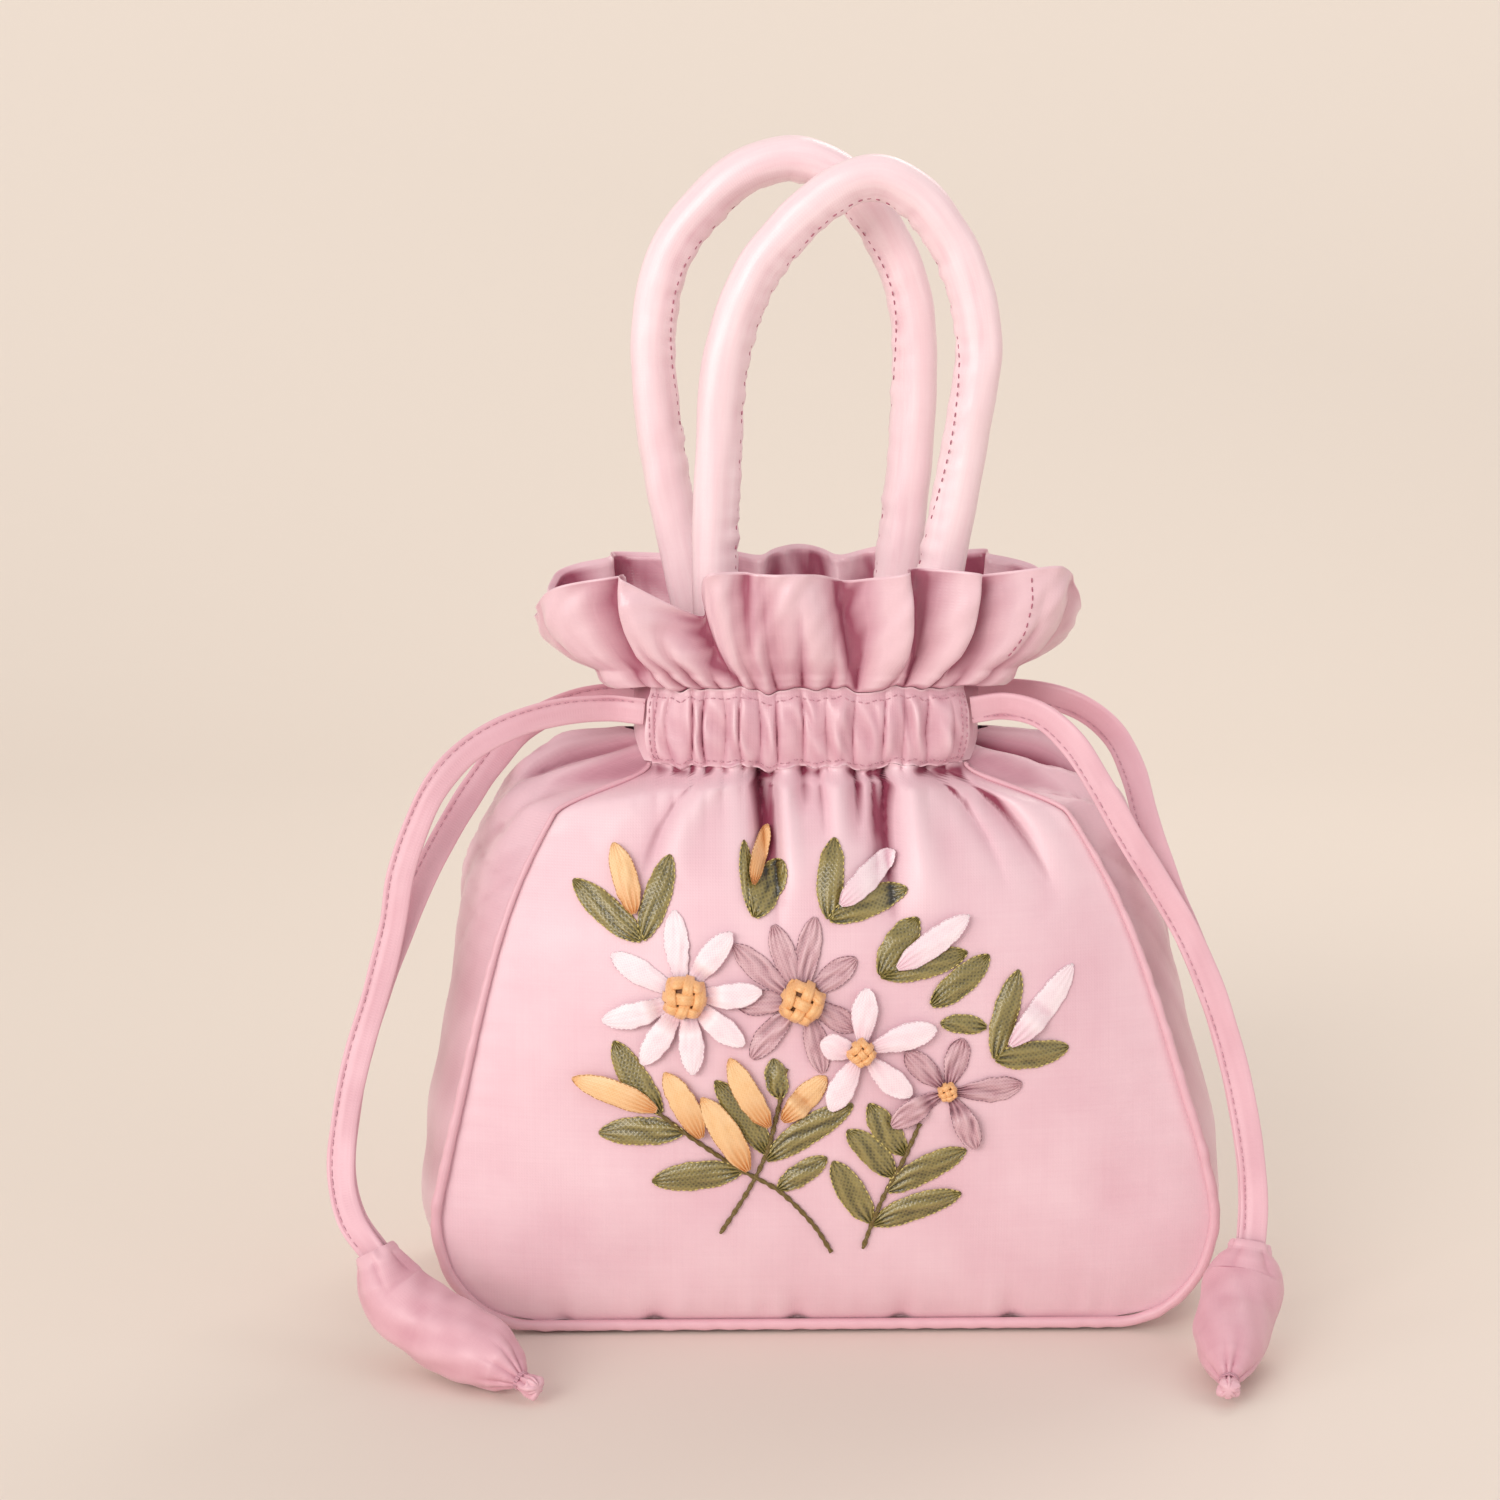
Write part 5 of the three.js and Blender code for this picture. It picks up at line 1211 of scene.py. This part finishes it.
def stem(places):
    """Stem stitch: a section of radius r (1 + 0.24 cos(2 a - 2 pi s / 2.6)) carried along the
    panel, s millimetres along it, so that it looks like a rope of two strands."""
    table = np.array(places) * [SEAM_HALF_WIDTH, BODY_HEIGHT]
    dense = smooth_through(table, np.linspace(0, len(table) - 1, 200), slack=True)
    line, length = evenly(on_front(dense[:, 0], dense[:, 1], 0.6), 150)
    way = unit(np.gradient(line, axis=0))
    broad = unit(np.cross(way, [0, 1, 0]))
    through = np.cross(way, broad)
    turn = full_turn(14)
    run = np.linspace(0, length, 150)[:, None]
    radius = STEM_RADIUS * (1 + 0.24 * np.cos(2 * turn - 2 * np.pi * run / 2.6))
    radius = radius * (0.9 + 0.1 * wander(run, 7, 4))
    return tube(line, broad, through, radius * np.cos(turn), 0.85 * radius * np.sin(turn), run[:, 0])


# The bands of a knot: their places across it and their half width, as shares of its radius
KNOT_BANDS = [-0.62, -0.01, 0.60]
KNOT_BAND_WIDTH = 0.25
KNOT_PITCH = 0.61


def knot(centre, radius, layer, seed):
    """The knotted middle of a flower: a shaded dome with three bands laid each way, woven.

    The dome stands H (1 - (r / R)^2.4)^0.5 off its seat. A band runs straight across at its
    place, follows the dome, arches by 1 - v^4 and has fine ridges cos(8 v + s) along it. It rises
    and dips by cos(pi run / pitch), so it goes over one band of the other way and under the next.
    """
    dice = np.random.default_rng(seed)
    x0, z0 = centre[0] * SEAM_HALF_WIDTH, centre[1] * BODY_HEIGHT
    seat = 1.0 + layer * LAYER_STEP
    tall = 0.5 * radius

    def dome(p, q, more):
        reach = ramp(np.hypot(p, q), radius)
        up = tall * np.sqrt(np.clip(1 - reach ** 2.4, 0, 1))
        flat = on_front(x0 + 0 * p, z0 + 0 * q, 0)
        under = on_front(x0 + p, z0 + q, seat)
        under[..., 1] = 0.5 * under[..., 1] + 0.5 * (flat[..., 1] - seat) - up - more
        return under

    spokes = full_turn(40)
    reach = 0.93 * radius * np.linspace(0.02, 1, 16)[:, None]
    top = dome(reach * np.cos(spokes), reach * np.sin(spokes), 0)
    rings = capped(top)
    parts = [skin(rings, lattice(np.arange(len(rings)) * radius / 16, np.linspace(0, 4, 41)), wrap=True)]
    s = np.linspace(-1, 1, 44)[:, None]
    v = np.linspace(-1, 1, 15)[None]
    for way in (0, 1):
        for number, place in enumerate(KNOT_BANDS):
            heading = np.radians(35 * seed + 90 * way) + dice.uniform(-0.12, 0.12)
            offset = radius * (place + dice.uniform(-0.05, 0.05))
            wide = radius * KNOT_BAND_WIDTH * dice.uniform(0.9, 1.1)
            run = s * np.sqrt(radius ** 2 - offset ** 2)
            away = offset + v * wide * (1 - 0.25 * s ** 4) + 0.05 * radius * np.sin(3 * s + number)
            p = run * np.cos(heading) - away * np.sin(heading)
            q = run * np.sin(heading) + away * np.cos(heading)
            over = np.cos(np.pi * (run / radius / KNOT_PITCH + number + way))
            arch = radius * (0.15 + 0.12 * over + 0.13 * (1 - v ** 4)) + 0.05 * np.cos(8 * v + number + s)
            arch = arch * (1 - 0.9 * np.abs(s) ** 8)
            strip = dome(p, q, arch + 0.1)
            under = dome(p, q, arch - 0.2)
            parts += [(part, 1) for part in closed_sheet(strip, under, lattice(run[:, 0], wide * v[0]))]
    return parts


FLOWERS = [
    ("flower_left", "pale", (-0.365, 0.628), 0, 1.0, 0.86, [
        (1.03, 97, 0), (0.98, 54, 1), (0.95, 5, 1), (0.92, -38, 1), (0.94, -84, 1), (0.98, -123, 1),
        (1.06, -163, 1), (1.02, 152, 0)]),
    ("flower_middle", "mauve", (-0.066, 0.621), 0, 1.0, 0.84, [
        (1.08, 141, 0), (0.98, 111, 0), (1.02, 81, 0), (0.84, 38, 0), (0.74, -28, 0), (0.92, -74, 0),
        (0.94, -132, 0), (0.80, -176, 0)]),
    ("flower_right", "pale", (0.084, 0.535), 1, 0.62, 0.9, [
        (0.78, 85, 1), (0.96, 17, 1), (0.82, -42, 1), (0.82, -118, 1), (0.52, 168, 1)]),
    ("flower_low", "mauve", (0.304, 0.461), 0, 0.45, 0.86, [
        (0.68, 74, 0), (0.72, 136, 0), (0.93, 4, 0), (0.79, -63, 1), (0.80, -150, 1)]),
]
SPRAYS = {
    "leaves_upper_left": ([
        ((-0.473, 0.722), (-0.650, 0.818), 1.0), ((-0.473, 0.722), (-0.400, 0.865), 0.94),
    ], []),
    "leaves_upper_middle": ([
        ((-0.188, 0.764), (-0.212, 0.888), 0.5), ((-0.188, 0.764), (-0.113, 0.856), 1.0),
    ], []),
    "leaves_upper_right": ([
        ((0.003, 0.760), (0.020, 0.894), 0.94), ((0.003, 0.760), (0.204, 0.809), 0.94),
    ], []),
    "leaves_right": ([((0.132, 0.664), (0.230, 0.761), 1.05), ((0.132, 0.664), (0.356, 0.701), 0.94)], []),
    "leaf_right_long": ([((0.262, 0.612), (0.412, 0.695), 0.97)], []),
    "leaf_right_short": ([((0.404, 0.572), (0.285, 0.581), 0.68)], []),
    "leaves_far_right": ([
        ((0.426, 0.516), (0.488, 0.668), 0.9), ((0.426, 0.516), (0.618, 0.531), 0.94),
    ], []),
    "leaves_lower_left": ([
        ((-0.426, 0.424), (-0.546, 0.548), 1.0), ((-0.370, 0.392), (-0.586, 0.385), 1.0),
        ((-0.222, 0.322), (-0.450, 0.301), 1.05), ((-0.152, 0.352), (-0.288, 0.483), 0.96),
        ((-0.158, 0.342), (0.063, 0.441), 1.0), ((-0.128, 0.289), (-0.003, 0.346), 0.82),
        ((-0.122, 0.452), (-0.140, 0.522), 0.8),
    ], [
        [(-0.108, 0.505), (-0.132, 0.420), (-0.160, 0.350), (-0.205, 0.285), (-0.275, 0.207)],
        [(-0.434, 0.425), (-0.340, 0.377), (-0.229, 0.326), (-0.125, 0.285), (-0.040, 0.225),
         (0.010, 0.170)],
    ]),
    "leaves_lower_right": ([
        ((0.168, 0.310), (0.048, 0.395), 0.95), ((0.196, 0.350), (0.103, 0.442), 0.94),
        ((0.152, 0.284), (0.354, 0.357), 0.96), ((0.116, 0.222), (0.342, 0.278), 0.96),
        ((0.110, 0.226), (0.012, 0.339), 1.0),
    ], [[(0.234, 0.406), (0.192, 0.340), (0.150, 0.285), (0.114, 0.225), (0.091, 0.177)]]),
}
BUDS = [
    ("bud_upper_left", "apricot", (-0.493, 0.767), (-0.546, 0.884), 0.9, (1, 1)),
    ("bud_upper_middle", "apricot", (-0.188, 0.818), (-0.148, 0.909), 0.56, (1, 1)),
    ("bud_upper_right", "pale", (0.031, 0.786), (0.174, 0.870), 0.87, (1, 1)),
    ("bud_right", "pale", (0.175, 0.678), (0.361, 0.765), 0.9, (1, 1)),
    ("bud_far_right", "pale", (0.463, 0.541), (0.631, 0.672), 0.94, (1, 0)),
    ("bud_left_low", "apricot", (-0.436, 0.432), (-0.653, 0.483), 0.9, (1, 1)),
    ("bud_left_middle", "apricot", (-0.323, 0.384), (-0.417, 0.499), 0.94, (1, 1)),
    ("bud_left_inner", "apricot", (-0.204, 0.325), (-0.323, 0.456), 1.0, (1, 1)),
    ("bud_middle", "apricot", (-0.150, 0.404), (-0.252, 0.525), 0.9, (1, 1)),
    ("bud_middle_right", "apricot", (-0.118, 0.415), (-0.005, 0.490), 0.9, (1, 0)),
]
SILKS = {
    "pale": ([pale_silk, pale_thread], "pale_ribbon"),
    "mauve": ([mauve_silk, mauve_thread], "mauve_ribbon"),
    "apricot": ([apricot_silk, apricot_thread], "apricot_ribbon"),
}


def flower(name, colour, centre, layer, size, width, petals, seed):
    """Petals from one centre, each a ribbon at its own reach and direction, and the knot on them."""
    parts = []
    for number, (reach, degrees, tip_layer) in enumerate(petals):
        turn = np.radians(degrees)
        tip = (centre[0] + reach * PETAL_REACH * np.cos(turn) / SEAM_HALF_WIDTH,
               centre[1] + reach * PETAL_REACH * np.sin(turn) / BODY_HEIGHT)
        parts += ribbon(centre, tip, width, PETAL_OUTLINE, (layer, tip_layer), seed + number,
                        crush=1.9 if colour == "mauve" else 0.55, edging=(1.2, 0.3, 0.09))
    silks, slot = SILKS[colour]
    piece(name + "_petals_silk", parts, silks, node=name + "_petals", crease=75,
          deepest=0.45, rounds=25)
    piece(name + "_knot", knot(centre, size * KNOT_RADIUS, layer, seed), [knot_shade, knot_silk],
          node=name + "_centre", crease=75, deepest=0.35, rounds=16)


for index, (name, colour, centre, layer, size, width, petals) in enumerate(FLOWERS):
    flower(name, colour, centre, layer, size, width, petals, 100 + 20 * index)
for index, (name, (leaves, stems)) in enumerate(SPRAYS.items()):
    leaf_parts = []
    for number, (root, tip, width) in enumerate(leaves):
        leaf_parts += ribbon(root, tip, width, LEAF_OUTLINE, (0, 0), 300 + 20 * index + number,
                             puff=0.75, crush=1.2, edging=(1.5, 0.55, 0.20))
    leaf_parts += [(stem(places), 2) for places in stems]
    piece(name + "_gauze", leaf_parts, [olive_gauze, gold_thread, stem_thread], node=name,
          crease=75, deepest=0.3, rounds=25)
for index, (name, colour, root, tip, width, climb) in enumerate(BUDS):
    silks, slot = SILKS[colour]
    bud_parts = ribbon(root, tip, width, LEAF_OUTLINE, climb, 600 + 20 * index,
                       crush=0.9 if colour == "apricot" else 0.5, edging=(1.2, 0.3, 0.1))
    piece(name + "_silk", bud_parts, silks, node=name, crease=75, deepest=0.45, rounds=25)

# Honed pale stone for the floor, which curves up behind: matt, with a trace of warmth.
stone = bpy.data.materials.new("honed pale stone")
stone.use_nodes = True
stone_surface = stone.node_tree.nodes["Principled BSDF"].inputs
stone_surface["Base Color"].default_value = linear("#ECE2D8")
stone_surface["Roughness"].default_value = 0.6
bend = np.linspace(0, np.pi / 2, 24)
sweep_y = np.concatenate([[-12], 0.8 + 1.2 * np.sin(bend), [2.0]])
sweep_z = np.concatenate([[0], 1.2 * (1 - np.cos(bend)), [3.5]]) - 0.0002
sweep = np.stack([np.stack([side + 0 * sweep_y, sweep_y, sweep_z], axis=1) for side in (-9.0, 9.0)])
_, sweep_quads, _ = skin(sweep, lattice(np.arange(2.0), sweep_y))
floor_mesh = bpy.data.meshes.new("floor")
floor_mesh.from_pydata(sweep.reshape(-1, 3).tolist(), [], sweep_quads.tolist())
floor_mesh.shade_smooth()
floor_mesh.materials.append(stone)
placed("floor", floor_mesh)


def lamp(name, place, aim, size, power, code):
    """A square soft light at a place in metres, turned to aim at a point."""
    light = bpy.data.lights.new(name, "AREA")
    light.size = size
    light.energy = power
    light.color = linear(code)[:3]
    holder = placed(name, light)
    holder.location = place
    holder.rotation_euler = (Vector(aim) - Vector(place)).to_track_quat("-Z", "Y").to_euler()


lamp("window", (-0.85, -0.66, 0.40), (0, 0, 0.12), 0.45, 1.7, "#FFFAF5")
lamp("fill", (1.0, -0.7, 0.5), (0, 0, 0.12), 0.6, 1.2, "#FFF9F6")
lamp("back", (0.35, 0.7, 0.9), (0, 0, 0.15), 0.5, 2.2, "#FFFBF6")
sunlight = bpy.data.lights.new("daylight", "SUN")
sunlight.energy = 1.25
sunlight.angle = 0.5
sunlight.color = linear("#FFF9F2")[:3]
sun = placed("daylight", sunlight)
sun.rotation_euler = Vector((0.46, 0.87, -0.37)).to_track_quat("-Z", "Y").to_euler()
sky = bpy.data.worlds.new("soft room light")
sky.use_nodes = True
sky.node_tree.nodes["Background"].inputs["Color"].default_value = linear("#F4F0EE")
sky.node_tree.nodes["Background"].inputs["Strength"].default_value = 0.68
bpy.context.scene.world = sky
bpy.context.scene.view_settings.view_transform = "Standard"
